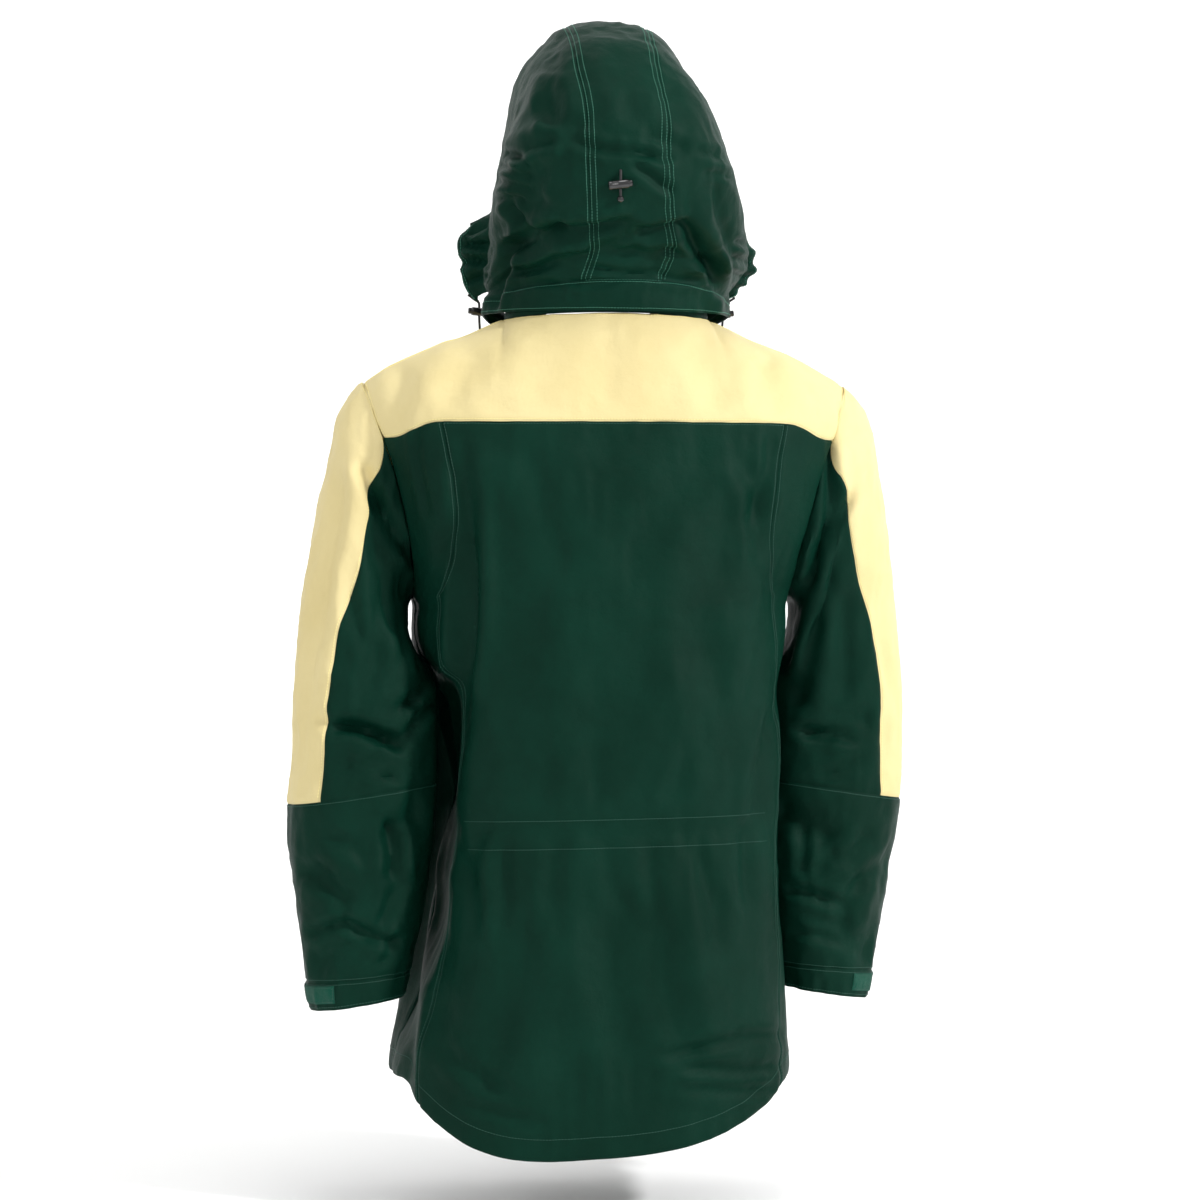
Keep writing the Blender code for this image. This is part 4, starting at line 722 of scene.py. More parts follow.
def crease_field(rows, across, down, unit):
    """Inward depth of soft creases with a small lip along one side, in metres."""
    total = np.zeros(across.shape)
    for row in rows:
        crease = dict(zip(CREASE_COLUMNS, row))
        run = np.array((crease["x2"] - crease["x1"], crease["y2"] - crease["y1"]), float)
        length = math.hypot(*run)
        side, up = across - crease["x1"], down - crease["y1"]
        share = (side * run[0] + up * run[1]) / length ** 2
        bend = CREASE_BEND * length * np.sin(share * 3.1 + crease["x1"])
        beside = ((side * run[1] - up * run[0]) / length + bend) / (crease["width"] * unit)
        ends = smooth_step(share * 3 + 0.7) * smooth_step((1 - share) * 3 + 0.7)
        near = np.exp(-beside ** 2) - CREASE_LIP * np.exp(-(np.abs(beside) - 1.9) ** 2)
        total += crease["depth"] * CREASE_DEPTH * ends * near
    return total


def lattice(points, seed):
    """Smooth random values, one octave, from -1 to 1, over points of any number."""
    cell = np.floor(points).astype(np.int64)
    part = points - cell
    part = part * part * (3 - 2 * part)
    total = np.zeros(points.shape[:-1])
    for corner in range(8):
        step = np.array([(corner >> k) & 1 for k in range(3)])
        at = (cell + step).astype(np.uint64)
        mixed = (at[..., 0] * np.uint64(73856093)) ^ (at[..., 1] * np.uint64(19349663)) ^ (
            at[..., 2] * np.uint64(83492791)) ^ np.uint64(seed * 2654435761)
        mixed = (mixed ^ (mixed >> np.uint64(13))) * np.uint64(1274126177)
        value = ((mixed >> np.uint64(16)) & np.uint64(0xFFFF)).astype(float) / 32767.5 - 1
        weight = np.prod(np.where(step == 1, part, 1 - part), axis=-1)
        total += value * weight
    return total


def drape(points, seed, size, amount):
    """Uneven soft ridges of a size (width, height), as an outward shift in metres."""
    scaled = points / np.array((size[0], size[0], size[1]))
    broad = lattice(scaled, seed)
    ridged = 1 - np.abs(lattice(scaled * 1.9 + 7.3, seed + 1)) * 2
    return amount * (0.6 * broad + 0.4 * ridged)


# By kind of piece: its creases, the height of its drape, and the drape's width and height.
CLOTH_LOOK = {
    "hood": (HOOD_CREASES, 0.0026, (0.030, 0.045)),
    "body": (BODY_CREASES, 0.0024, (0.034, 0.110)),
    "yoke": (YOKE_CREASES, 0.0013, (0.040, 0.060)),
    "sleeve": (SLEEVE_CREASES, 0.0030, (0.026, 0.050)),
}
SMALL_WRINKLE = (0.011, 0.015)
SMALL_WRINKLE_SHARE = 0.22


def worn_look(points, normals, kind):
    """Outward shift of the cloth at leaned points, by the kind of piece."""
    facing = smooth_step((-(normals @ EYE_WAY) + 0.15) * 1.6)
    across, down = seen_place(points)
    rows, amount, size = CLOTH_LOOK[kind]
    shift = -crease_field(rows, across, down, 1.0) * facing
    if kind in ("body", "yoke"):
        hidden = crease_field(FRONT_CREASES, points[..., 0], points[..., 2], MILLIMETRE)
        shift -= hidden * smooth_step(-points[..., 1] * 30)
    shift += drape(points, 11, size, amount)
    shift += drape(points, 23, SMALL_WRINKLE, amount * SMALL_WRINKLE_SHARE)
    return shift


# ------------------------------------------------------------------------ fine cloth pieces
EDGE_PLACES = (0.0, 0.0009, 0.0020, 0.0034, 0.0055)
SEAM_TUCK = 0.0011       # how far a sewn edge is drawn in
SEAM_TUCK_WIDTH = 0.0021
PUCKER = 0.00055
PUCKER_REACH = 0.0085
PUCKER_SPACING = 0.0065
panels = {}


def spread(path, start, end, spacing, edges=(True, True)):
    """Parameter values an even distance apart, with extra ones beside sewn edges."""
    t = np.linspace(start, end, 241)
    points = path(t)
    arc = arc_length(points)
    count = max(int(round(arc[-1] / spacing)), 2)
    places = list(np.linspace(0, arc[-1], count + 1))
    close = EDGE_PLACES[-1] + spacing * 0.4
    if edges[0]:
        places = [p for p in places if p > close] + list(EDGE_PLACES)
    if edges[1]:
        places = [p for p in places if p < arc[-1] - close] + [arc[-1] - e for e in EDGE_PLACES]
    return np.interp(sorted(places), arc, t)


def edge_distance(points, axis):
    """Distance of every grid point from the first and last line along one axis."""
    step = np.linalg.norm(np.diff(points, axis=axis), axis=-1)
    zero = np.zeros_like(np.take(step, [0], axis=axis))
    run = np.concatenate([zero, np.cumsum(step, axis=axis)], axis=axis)
    return run, np.take(run, [-1], axis=axis) - run


def fine_panel(name, surface, u_range, v_range, flip, kind, material, slot, spacing=0.004,
               wall=WALL, lift=0.0, ring=False, sewn=(1, 1, 1, 1), look=True):
    """Cloth piece on a surface, with its wall, creases, sewn edges and puckers.

    flip is 1 or -1, whichever turns the normals out. lift moves the piece out from the
    surface. sewn gives how strongly each edge is drawn in: first and last u, then v.
    """
    middle_v = (v_range[0] + v_range[1]) / 2
    middle_u = (u_range[0] + u_range[1]) / 2 if not ring else u_range[0] + 90

    def along_u(t):
        return surface(t, np.full_like(t, middle_v))

    def along_v(t):
        return surface(np.full_like(t, middle_u), t)

    u = spread(along_u, *u_range, spacing, (bool(sewn[0]), bool(sewn[1])))
    v = spread(along_v, *v_range, spacing, (bool(sewn[2]), bool(sewn[3])))
    grid_u, grid_v = np.meshgrid(u, v, indexing="ij")
    points = surface(grid_u, grid_v)
    normals = normals_of(surface, grid_u, grid_v, flip)
    if ring:
        points[-1], normals[-1] = points[0], normals[0]
    points = lean(points)
    shift = np.full(points.shape[:2], lift)
    if look:
        shift += worn_look(points, normals, kind)
    for axis in (0, 1):
        if ring and axis == 0:
            continue
        near = edge_distance(points, axis)
        run = edge_distance(points, 1 - axis)[0]
        for end in (0, 1):
            strength = sewn[2 * axis + end]
            if not strength:
                continue
            shift -= strength * SEAM_TUCK * np.exp(-(near[end] / SEAM_TUCK_WIDTH) ** 2)
            places = np.stack([run / PUCKER_SPACING, near[end] / 0.02, 0 * run], axis=-1)
            wave = lattice(places + 3.7 * (axis + 2 * end), 31)
            fade = np.exp(-near[end] / PUCKER_REACH) * (1 - np.exp(-(near[end] / 0.002) ** 2))
            shift += min(strength, 1) * PUCKER * wave * fade
    outer = points + normals * shift[..., None]
    inner = outer - normals * wall
    across = edge_distance(points, 0)[0]
    along = edge_distance(points, 1)[0]
    panels[name] = {"outer": outer, "normals": normals}
    columns = len(u) - 1 if ring else len(u)
    rows = len(v)
    i, j = np.meshgrid(np.arange(len(u) - 1), np.arange(rows - 1), indexing="ij")
    i, j = i.ravel(), j.ravel()
    i2 = (i + 1) % columns
    count = columns * rows
    quad = np.stack([i * rows + j, i2 * rows + j, i2 * rows + j + 1, i * rows + j + 1], axis=1)
    faces = [quad, quad[:, ::-1] + count]
    k = np.arange(len(u) - 1)
    k2 = (k + 1) % columns
    for line, order in ((0, 1), (rows - 1, -1)):
        rim = np.stack([k * rows + line, k * rows + line + count, k2 * rows + line + count,
                        k2 * rows + line], axis=1)
        faces.append(rim[:, ::order])
    if not ring:
        m = np.arange(rows - 1)
        for line, order in ((0, -1), (len(u) - 1, 1)):
            a, b = line * rows + m, line * rows + m + 1
            rim = np.stack([a, a + count, b + count, b], axis=1)
            faces.append(rim[:, ::order])
    faces = np.concatenate(faces).tolist()
    vertices = np.concatenate([outer[:columns].reshape(-1, 3), inner[:columns].reshape(-1, 3)])
    piece = new_mesh(f"cloth_{name}", vertices, faces, material, angle=55)
    flat_u = np.concatenate([across[:columns].ravel(), across[:columns].ravel()])
    flat_v = np.concatenate([along[:columns].ravel(), along[:columns].ravel()])
    loops = np.empty(len(piece.data.loops), dtype=np.int32)
    piece.data.loops.foreach_get("vertex_index", loops)
    layer = piece.data.uv_layers.new(name="weave")
    layer.uv.foreach_set("vector", np.stack([flat_u[loops], flat_v[loops]], axis=1).ravel())
    on_jacket(piece, slot, name)


def new_mesh(name, vertices, faces, material, angle=None):
    """Smooth object, sharp where its faces meet at more than an angle, if one is given."""
    mesh = bpy.data.meshes.new(name)
    mesh.from_pydata(np.asarray(vertices).tolist(), [], faces)
    mesh.shade_smooth()
    if angle:
        mesh.set_sharp_from_angle(angle=math.radians(angle))
    mesh.materials.append(material)
    piece = bpy.data.objects.new(name, mesh)
    bpy.context.scene.collection.objects.link(piece)
    return piece


def on_jacket(piece, slot, *nodes):
    """The piece moves with the jacket and stands for the nodes, if any. slot is not used."""
    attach(piece, "jacket")
    if nodes:
        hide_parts(*nodes)
    return piece


# ---------------------------------------------------------------------------- stitching
STITCH_PITCH = 0.0031
STITCH_LENGTH = 0.0023
STITCH_RADIUS = 0.00040


def edge_line(name, edge, distance):
    """Line on a panel beside one of its edges (u0, u1, v0 or v1), with its normals."""
    grid, normals = panels[name]["outer"], panels[name]["normals"]
    if edge[0] == "v":
        grid, normals = grid.swapaxes(0, 1), normals.swapaxes(0, 1)
    if edge[1] == "1":
        grid, normals = grid[::-1], normals[::-1]
    run = edge_distance(grid, 0)[0]
    line = np.empty((grid.shape[1], 3))
    out = np.empty((grid.shape[1], 3))
    for k in range(grid.shape[1]):
        for axis in range(3):
            line[k, axis] = np.interp(distance, run[:, k], grid[:, k, axis])
            out[k, axis] = np.interp(distance, run[:, k], normals[:, k, axis])
    return line, out


def level_line(name, height, part=(0.0, 1.0)):
    """Line across a panel at a height that may vary with x."""
    grid, normals = panels[name]["outer"], panels[name]["normals"]
    first, last = int(part[0] * (len(grid) - 1)), int(part[1] * (len(grid) - 1))
    line, out = [], []
    for k in range(first, last + 1):
        z = grid[k, :, 2][::-1]
        wanted = height(grid[k, 0, 0])
        line.append([np.interp(wanted, z, grid[k, ::-1, axis]) for axis in range(3)])
        out.append([np.interp(wanted, z, normals[k, ::-1, axis]) for axis in range(3)])
    return np.array(line), np.array(out)


def stitches(name, lines, material, slot):
    """Rows of short threads that lie along lines on the cloth, as one piece."""
    sides = 5
    vertices, faces = [], []
    for line, out in lines:
        arc = arc_length(line)
        starts = np.arange(0.002, arc[-1] - 0.004, STITCH_PITCH)
        for place in starts:
            ends = []
            for at in (place, place + STITCH_LENGTH * 0.5, place + STITCH_LENGTH):
                ends.append(([np.interp(at, arc, line[:, k]) for k in range(3)],
                             [np.interp(at, arc, out[:, k]) for k in range(3)]))
            way = np.array(ends[2][0]) - np.array(ends[0][0])
            way /= np.linalg.norm(way)
            base = len(vertices)
            for (point, normal), lift, size in zip(ends, (-0.1, 0.75, -0.1), (0.6, 1.0, 0.6)):
                normal = np.array(normal) / np.linalg.norm(normal)
                beside = np.cross(way, normal)
                for k in range(sides):
                    turn = 2 * math.pi * k / sides
                    vertices.append(np.array(point) + STITCH_RADIUS * (
                        normal * (lift + size * math.sin(turn)) + beside * size * math.cos(turn)))
            for ring in (0, sides):
                for k in range(sides):
                    k2 = (k + 1) % sides
                    faces.append((base + ring + k, base + ring + k2, base + ring + sides + k2,
                                  base + ring + sides + k))
    on_jacket(new_mesh(name, vertices, faces, material), slot)


# ---------------------------------------------------------------------------- materials
MIX_A = 6                # a colour mix node's sockets
MIX_B = 7
MIX_OUT = 2


def new_material(name):
    material = bpy.data.materials.new(name)
    material.use_nodes = True
    nodes, links = material.node_tree.nodes, material.node_tree.links
    return material, nodes, links, nodes["Principled BSDF"]


def add_node(nodes, kind, **values):
    node = nodes.new(kind)
    for key, value in values.items():
        if key in node.inputs:
            node.inputs[key].default_value = value
        else:
            setattr(node, key, value)
    return node


def cloth_material(name, dark, light, rough, thread=0.0007, weave=0.5, sheen=0.2, nap=0.0,
                   crumple=0.35, specular=0.5):
    """Plain weave: two crossing sets of threads, uneven colour, painted shade between the threads
    and a faint crumple.
    """
    material, nodes, links, shader = new_material(name)
    uv = add_node(nodes, "ShaderNodeUVMap", uv_map="weave")
    place = add_node(nodes, "ShaderNodeTexCoord")
    bands = []
    for direction in ("X", "Y"):
        wave = add_node(nodes, "ShaderNodeTexWave", bands_direction=direction,
                        wave_type="BANDS", Distortion=0.6)
        wave.inputs["Scale"].default_value = 0.314 / thread
        wave.inputs["Detail Scale"].default_value = 2.0
        links.new(uv.outputs[0], wave.inputs["Vector"])
        bands.append(wave)
    cross = add_node(nodes, "ShaderNodeMath", operation="MULTIPLY")
    links.new(bands[0].outputs["Fac"], cross.inputs[0])
    links.new(bands[1].outputs["Fac"], cross.inputs[1])
    bump = add_node(nodes, "ShaderNodeBump", Strength=weave, Distance=thread * 0.3)
    links.new(cross.outputs[0], bump.inputs["Height"])
    soft = add_node(nodes, "ShaderNodeTexNoise", Scale=95.0, Detail=4.0, Roughness=0.6)
    links.new(place.outputs["Object"], soft.inputs["Vector"])
    crease = add_node(nodes, "ShaderNodeBump", Strength=crumple, Distance=0.0022)
    links.new(soft.outputs["Fac"], crease.inputs["Height"])
    links.new(bump.outputs[0], crease.inputs["Normal"])
    last = crease
    if nap:
        fuzz = add_node(nodes, "ShaderNodeTexNoise", Scale=900.0, Detail=5.0, Roughness=0.75)
        links.new(place.outputs["Object"], fuzz.inputs["Vector"])
        last = add_node(nodes, "ShaderNodeBump", Strength=nap, Distance=0.0015)
        links.new(fuzz.outputs["Fac"], last.inputs["Height"])
        links.new(crease.outputs[0], last.inputs["Normal"])
    links.new(last.outputs[0], shader.inputs["Normal"])
    patch = add_node(nodes, "ShaderNodeTexNoise", Scale=9.0, Detail=6.0, Roughness=0.62)
    links.new(place.outputs["Object"], patch.inputs["Vector"])
    blend = add_node(nodes, "ShaderNodeMapRange")
    blend.inputs["From Min"].default_value = 0.36
    blend.inputs["From Max"].default_value = 0.66
    links.new(patch.outputs["Fac"], blend.inputs["Value"])
    colour = add_node(nodes, "ShaderNodeMix", data_type="RGBA")
    colour.inputs[MIX_A].default_value = (*dark, 1)
    colour.inputs[MIX_B].default_value = (*light, 1)
    links.new(blend.outputs[0], colour.inputs[0])
    # painted shade: the colour is darkened by up to 22 % where the weave's height is low, between
    # the threads
    painted_thread_shade = add_node(nodes, "ShaderNodeMix", data_type="RGBA", blend_type="MULTIPLY")
    painted_thread_shade.inputs[0].default_value = 0.22
    links.new(colour.outputs[MIX_OUT], painted_thread_shade.inputs[MIX_A])
    links.new(cross.outputs[0], painted_thread_shade.inputs[MIX_B])
    links.new(painted_thread_shade.outputs[MIX_OUT], shader.inputs["Base Color"])
    vary = add_node(nodes, "ShaderNodeMapRange")
    vary.inputs["To Min"].default_value = rough - 0.05
    vary.inputs["To Max"].default_value = rough + 0.06
    links.new(soft.outputs["Fac"], vary.inputs["Value"])
    links.new(vary.outputs[0], shader.inputs["Roughness"])
    shader.inputs["Sheen Weight"].default_value = sheen
    shader.inputs["Sheen Roughness"].default_value = 0.45
    shader.inputs["Specular IOR Level"].default_value = specular
    return material


def hard_material(name, colour, rough, metallic=0.0, grain=0.15, coat=0.0):
    """Moulded plastic, thread or plated metal with a fine uneven surface."""
    material, nodes, links, shader = new_material(name)
    place = add_node(nodes, "ShaderNodeTexCoord")
    noise = add_node(nodes, "ShaderNodeTexNoise", Scale=700.0, Detail=3.0)
    links.new(place.outputs["Object"], noise.inputs["Vector"])
    bump = add_node(nodes, "ShaderNodeBump", Strength=grain, Distance=0.0003)
    links.new(noise.outputs["Fac"], bump.inputs["Height"])
    links.new(bump.outputs[0], shader.inputs["Normal"])
    tint = add_node(nodes, "ShaderNodeMix", data_type="RGBA")
    tint.inputs[MIX_A].default_value = (*colour, 1)
    tint.inputs[MIX_B].default_value = (*(min(c * 1.35 + 0.004, 1) for c in colour), 1)
    links.new(noise.outputs["Fac"], tint.inputs[0])
    links.new(tint.outputs[MIX_OUT], shader.inputs["Base Color"])
    shader.inputs["Roughness"].default_value = rough
    shader.inputs["Metallic"].default_value = metallic
    shader.inputs["Coat Weight"].default_value = coat
    return material


# ------------------------------------------------------------------------- the whole scene
SENSOR_WIDTH = 36.0


def add_camera():
    """Camera on the back, with a plain view of the colours."""
    bpy.context.scene.view_settings.view_transform = "Standard"
    data = bpy.data.cameras.new("view")
    camera = bpy.data.objects.new("view", data)
    bpy.context.scene.collection.objects.link(camera)
    bpy.context.scene.camera = camera
    data.sensor_width = SENSOR_WIDTH
    data.lens = SENSOR_WIDTH * EYE_DISTANCE / EYE_FRAME
    camera.location = Vector(EYE_AT)
    camera.rotation_euler = Vector(EYE_WAY).to_track_quat("-Z", "Y").to_euler()


def cord_piece(name, points, nodes, material):
    """One free cord along its route, with the length that the route has."""
    curve = bpy.data.curves.new(name, "CURVE")
    curve.dimensions = "3D"
    curve.bevel_depth = CORD_RADIUS
    curve.bevel_resolution = 4
    curve.use_fill_caps = True
    line = curve.splines.new("POLY")
    line.points.add(len(points) - 1)
    for slot, point in zip(line.points, points):
        slot.co = (*point, 1.0)
    curve.materials.append(material)
    cord = bpy.data.objects.new(name, curve)
    bpy.context.scene.collection.objects.link(cord)
    on_jacket(cord, "gloss_black", *nodes)


def turned(name, profile, centre, direction, material, node, sides=40):
    """Turned piece from a profile of radius and height along a direction."""
    rows = len(profile)
    turn = np.linspace(0, 2 * math.pi, sides, endpoint=False)
    matrix = np.array(Vector(direction).to_track_quat("Z", "Y").to_matrix())
    vertices = [np.array(centre) + matrix @ np.array((r * math.cos(t), r * math.sin(t), h))
                for t in turn for r, h in profile]
    faces = [((i % sides) * rows + j, ((i + 1) % sides) * rows + j,
              ((i + 1) % sides) * rows + j + 1, (i % sides) * rows + j + 1)
             for i in range(sides) for j in range(rows - 1)]
    faces.append(tuple(i * rows for i in range(sides))[::-1])
    faces.append(tuple(i * rows + rows - 1 for i in range(sides)))
    on_jacket(new_mesh(name, vertices, faces, material, angle=38), "gloss_black", node)


def lock_profile():
    """Barrel with rounded shoulders, three grip rings and a push button."""
    half = LOCK_LENGTH / 2
    rows = [(0.0006, -half), (LOCK_RADIUS - 0.0012, -half), (LOCK_RADIUS - 0.0004, -half + 0.0003),
            (LOCK_RADIUS, -half + 0.0012)]
    for centre in (-0.0075, -0.0055, -0.0035):
        rows += [(LOCK_RADIUS, centre - 0.0006), (LOCK_RADIUS - 0.0004, centre),
                 (LOCK_RADIUS, centre + 0.0006)]
    shoulder = half - BUTTON_LENGTH
    rows += [(LOCK_RADIUS, shoulder - 0.0014), (LOCK_RADIUS - 0.0003, shoulder - 0.0004),
             (LOCK_RADIUS - 0.0010, shoulder), (BUTTON_RADIUS + 0.0001, shoulder),
             (BUTTON_RADIUS, shoulder + 0.0002), (BUTTON_RADIUS, half - 0.0008),
             (BUTTON_RADIUS - 0.0008, half), (0.0006, half)]
    return rows


def make_locks_and_cords(black, cord_black):
    point, outward = hood_place(*BACK_LOCK)
    tilt = math.radians(BACK_LOCK_TILT)
    centre = point + outward * (LOCK_RADIUS + CLEARANCE)
    turned("lock_back", lock_profile(), centre, (-math.cos(tilt), 0.0, math.sin(tilt)), black,
           "cord_lock_back")
    eyelet, eyelet_out = hood_place(BACK_LOCK[0], BACK_LOCK[1] + BACK_CORD_RISE)
    start = eyelet + eyelet_out * (CORD_RADIUS + CLEARANCE)
    low, low_out = hood_place(BACK_LOCK[0] - 0.001, BACK_LOCK[1] - BACK_CORD_RISE)
    bead = low + low_out * (BEAD_RADIUS + CLEARANCE)
    down = (bead - centre) / np.linalg.norm(bead - centre)
    last = bead - down * (BEAD_RADIUS * 0.4)
    inside = eyelet - eyelet_out * 0.006 + np.array((0.0, 0.0, 0.0015))
    route = smooth_route([inside, eyelet, start + np.array((0, 0.0006, -0.0008)),
                          between(start, centre, 0.5) + outward * 0.0012, centre,
                          between(centre, last, 0.6), last], 26)
    cord_piece("cord_back", route, ("cord_back_upper", "cord_back_lower"), cord_black)
    for side, letter in ((1, "L"), (-1, "R")):
        u, v = np.array([side * FRONT_EXIT_ACROSS]), np.array([FRONT_EXIT_ANGLE])
        outward = normals_of(HOOD_SURFACE, u, v, -1)[0]
        exit_point = lean(HOOD_SURFACE(u, v)[0]) + outward * (CORD_RADIUS + CLEARANCE)
        steps = FRONT_CORD_UPPER + [FRONT_LOCK_STEP] + FRONT_CORD_LOWER
        route = smooth_route([exit_point + np.array((side * x, y, z)) for x, y, z in steps], 30)
        lock_at = exit_point + np.array(FRONT_LOCK_STEP) * (side, 1, 1)
        turned(f"lock_front_{letter}", lock_profile(), lock_at, (side * 0.96, 0.15, 0.1), black,
               f"cord_lock_front_{letter}")
        cord_piece(f"cord_front_whole_{letter}", route,
                   (f"cord_front_upper_{letter}", f"cord_front_{letter}"), cord_black)


def make_zip_teeth(material):
    """Interlocked teeth along the centre front, on both sides of the middle."""
    path, outward = zip_path()
    arc = arc_length(path)
    pitch = 0.0021
    vertices, faces = [], []
    for k, at in enumerate(np.arange(0.002, arc[-1] - 0.001, pitch / 2)):
        point = np.array([np.interp(at, arc, path[:, a]) for a in range(3)])
        out = np.array([np.interp(at, arc, outward[:, a]) for a in range(3)])
        way = np.cross((1.0, 0, 0), out)
        side = 1 if k % 2 else -1
        base = len(vertices)
        for x, w in ((-0.0006, 0.42), (0.0008, 0.48), (0.0026, 0.34)):
            for y in (0.0, -ZIP_CHAIN_WALL):
                for z in (-1, 1):
                    vertices.append(lean(point + np.array((side * x, 0, 0)) + out * y
                                         + way * z * w * pitch / 2))
        for a in (0, 4):
            b = base + a
            faces += [(b, b + 1, b + 5, b + 4), (b + 2, b + 6, b + 7, b + 3),
                      (b, b + 4, b + 6, b + 2), (b + 1, b + 3, b + 7, b + 5)]
        faces += [(base, base + 2, base + 3, base + 1), (base + 8, base + 9, base + 11, base + 10)]
    teeth = new_mesh("zip_teeth", vertices, faces, material, angle=30)
    on_jacket(teeth, "gloss_black", "zip_chain")


def make_zip_tape(material):
    """Woven tape behind the teeth, over place across (-1 to 1) and place along."""
    path, outward = zip_path()
    arc = arc_length(path)
    arc = arc / arc[-1]

    def surface(a, t):
        a, t = np.broadcast_arrays(np.asarray(a, float), t)
        base = np.stack([np.interp(t, arc, path[:, k]) for k in range(3)], axis=-1)
        out = np.stack([np.interp(t, arc, outward[:, k]) for k in range(3)], axis=-1)
        base = base - out * ZIP_TAPE_DEPTH
        base[..., 0] += a * ZIP_TAPE_HALF_WIDTH
        return base

    fine_panel("zip_tape", surface, (-1, 1), (0.004, 0.996), 1, "body", material,
               "shell_green", spacing=0.005, wall=ZIP_TAPE_WALL, look=False, sewn=(0, 0, 0, 0))


def make_body_cloth(green, yellow):
    fine_panel("back_yoke", BODY_SURFACE[1], (-1, 1), (0, 1), BODY_FLIP[1], "yoke", yellow,
               "shell_yellow")

    def centre_surface(a, v):
        return BODY_SURFACE[1](a * SIDE_SEAM.at("share", v), v)

    fine_panel("back_panel", centre_surface, (-1, 1), (1, 2), BODY_FLIP[1], "body", green,
               "shell_green", spacing=0.0042, sewn=(1.4, 1.4, 1, 1))
    for sign, letter in ((1, "L"), (-1, "R")):
        def side_surface(a, v, sign=sign):
            share = between(SIDE_SEAM.at("share", v), 1.0, a)
            return BODY_SURFACE[1](sign * share, v)

        fine_panel(f"side_back_{letter}", side_surface, (0, 1), (1, 2), BODY_FLIP[1] * sign,
                   "body", green, "shell_green")

        def front_surface(a, v, sign=sign):
            return BODY_SURFACE[-1](sign * np.maximum(a, FRONT_START.at("share", v)), v)

        start = float(FRONT_START.at("share", 1.0))
        fine_panel(f"front_{letter}", front_surface, (start, 1), (1, 2),
                   BODY_FLIP[-1] * sign, "body", green, "shell_green", spacing=0.005,
                   sewn=(0, 1, 1, 1))
        start = float(FRONT_START.at("share", 0.0))
        fine_panel(f"front_yoke_{letter}", front_surface, (start, 1), (0, 1),
                   BODY_FLIP[-1] * sign, "yoke", yellow, "shell_yellow", spacing=0.005,
                   sewn=(0, 1, 1, 1))


def make_sleeve_cloth(side, letter, green, yellow, fleece, loop):
    surface = sleeve_surface(side)
    back_edge = ARMHOLE_LOOKUP[1][1][YOKE_ROWS]
    front_edge = ARMHOLE_LOOKUP[-1][1][YOKE_ROWS]

    def panel_edges(row):
        here = smooth_step(row / 1.0)
        shown = SLEEVE.at("yellow", row)
        return between(back_edge, shown, here), between(front_edge, shown, here)

    def yellow_surface(a, row):
        back, front = panel_edges(row)
        return surface(np.where(a >= 0, a * back, a * front), row)

    def under_surface(a, row):
        back, front = panel_edges(row)
        angle = np.where(a <= 1, between(back, 180, a), between(180, 360 - front, a - 1))
        return surface(angle, row)

    fine_panel(f"sleeve_outer_{letter}", yellow_surface, (-1, 1), (0, ELBOW), -side, "sleeve",
               yellow, "shell_yellow")
    fine_panel(f"sleeve_under_{letter}", under_surface, (0, 2), (0, ELBOW), -side, "sleeve",
               green, "shell_green")
    fine_panel(f"forearm_{letter}", surface, (-70, 290), (ELBOW, CUFF_TOP), -side, "sleeve",
               green, "shell_green", ring=True)
    fine_panel(f"cuff_{letter}", surface, (-70, 290), (CUFF_TOP, CUFF_END), -side, "sleeve",
               green, "shell_green", spacing=0.003, ring=True)
    fine_panel(f"liner_cuff_{letter}", surface, (0, 360), (CUFF_TOP - 0.4, CUFF_END - 0.02),
               -side, "sleeve", fleece, "liner_fleece", spacing=0.0025, wall=FLEECE_WALL,
               lift=-(WALL + 0.0035), ring=True, sewn=(0, 0, 0, 0))
    fine_panel(f"cuff_patch_{letter}", surface, (4, 62), (CUFF_TOP + 0.12, CUFF_END - 0.25),
               -side, "sleeve", loop, "loop_patch", spacing=0.0016, wall=0.0012,
               lift=0.0012 + CLEARANCE, sewn=(0.5, 0.5, 0.5, 0.5))
    fine_panel(f"cuff_tab_{letter}", surface, (-96, -2), (CUFF_TOP + 0.12, CUFF_END - 0.25),
               -side, "sleeve", green, "shell_green", spacing=0.0022, wall=0.0016,
               lift=0.0016 + CLEARANCE, sewn=(0.6, 0.6, 0.6, 0.6))


def make_hood_cloth(green):
    low, top = HOOD_BAND_TOP, HOOD_EDGE_START

    def centre_surface(a, angle):
        return HOOD_SURFACE(a * hood_seam_across(angle), angle)

    def whole_surface(a, angle):
        seam = hood_seam_across(angle)
        size = np.abs(a)
        across = np.where(size <= 1, size * seam, between(seam, HOOD_LEG_END, size - 1))
        return HOOD_SURFACE(np.sign(a) * across, angle)

    fine_panel("hood_centre", centre_surface, (-1, 1), (low, top), -1, "hood", green,
               "shell_green", spacing=0.0032, sewn=(1.2, 1.2, 1, 1))
    for sign, letter in ((1, "L"), (-1, "R")):
        def side_surface(a, angle, sign=sign):
            return HOOD_SURFACE(sign * between(hood_seam_across(angle), HOOD_LEG_END, a), angle)

        fine_panel(f"hood_side_{letter}", side_surface, (0, 1), (low, top), -sign, "hood",
                   green, "shell_green", spacing=0.0032)
    fine_panel("hood_band", whole_surface, (-2, 2), (HOOD_BAND_LOW, HOOD_BAND_TOP), -1, "hood",
               green, "shell_green", spacing=0.003)
    fine_panel("hood_edge", whole_surface, (-2, 2), (HOOD_EDGE_START, HOOD_EDGE_END), -1,
               "hood", green, "shell_green", spacing=0.003)


def make_collar_cloth(green):
    end = 1 - float(FRONT_START.at("share", 0)) / NECK_SHARE / 2
    fine_panel("collar", collar_surface, (-end, end), (0, 1), -1, "hood", green,
               "shell_green", look=False)


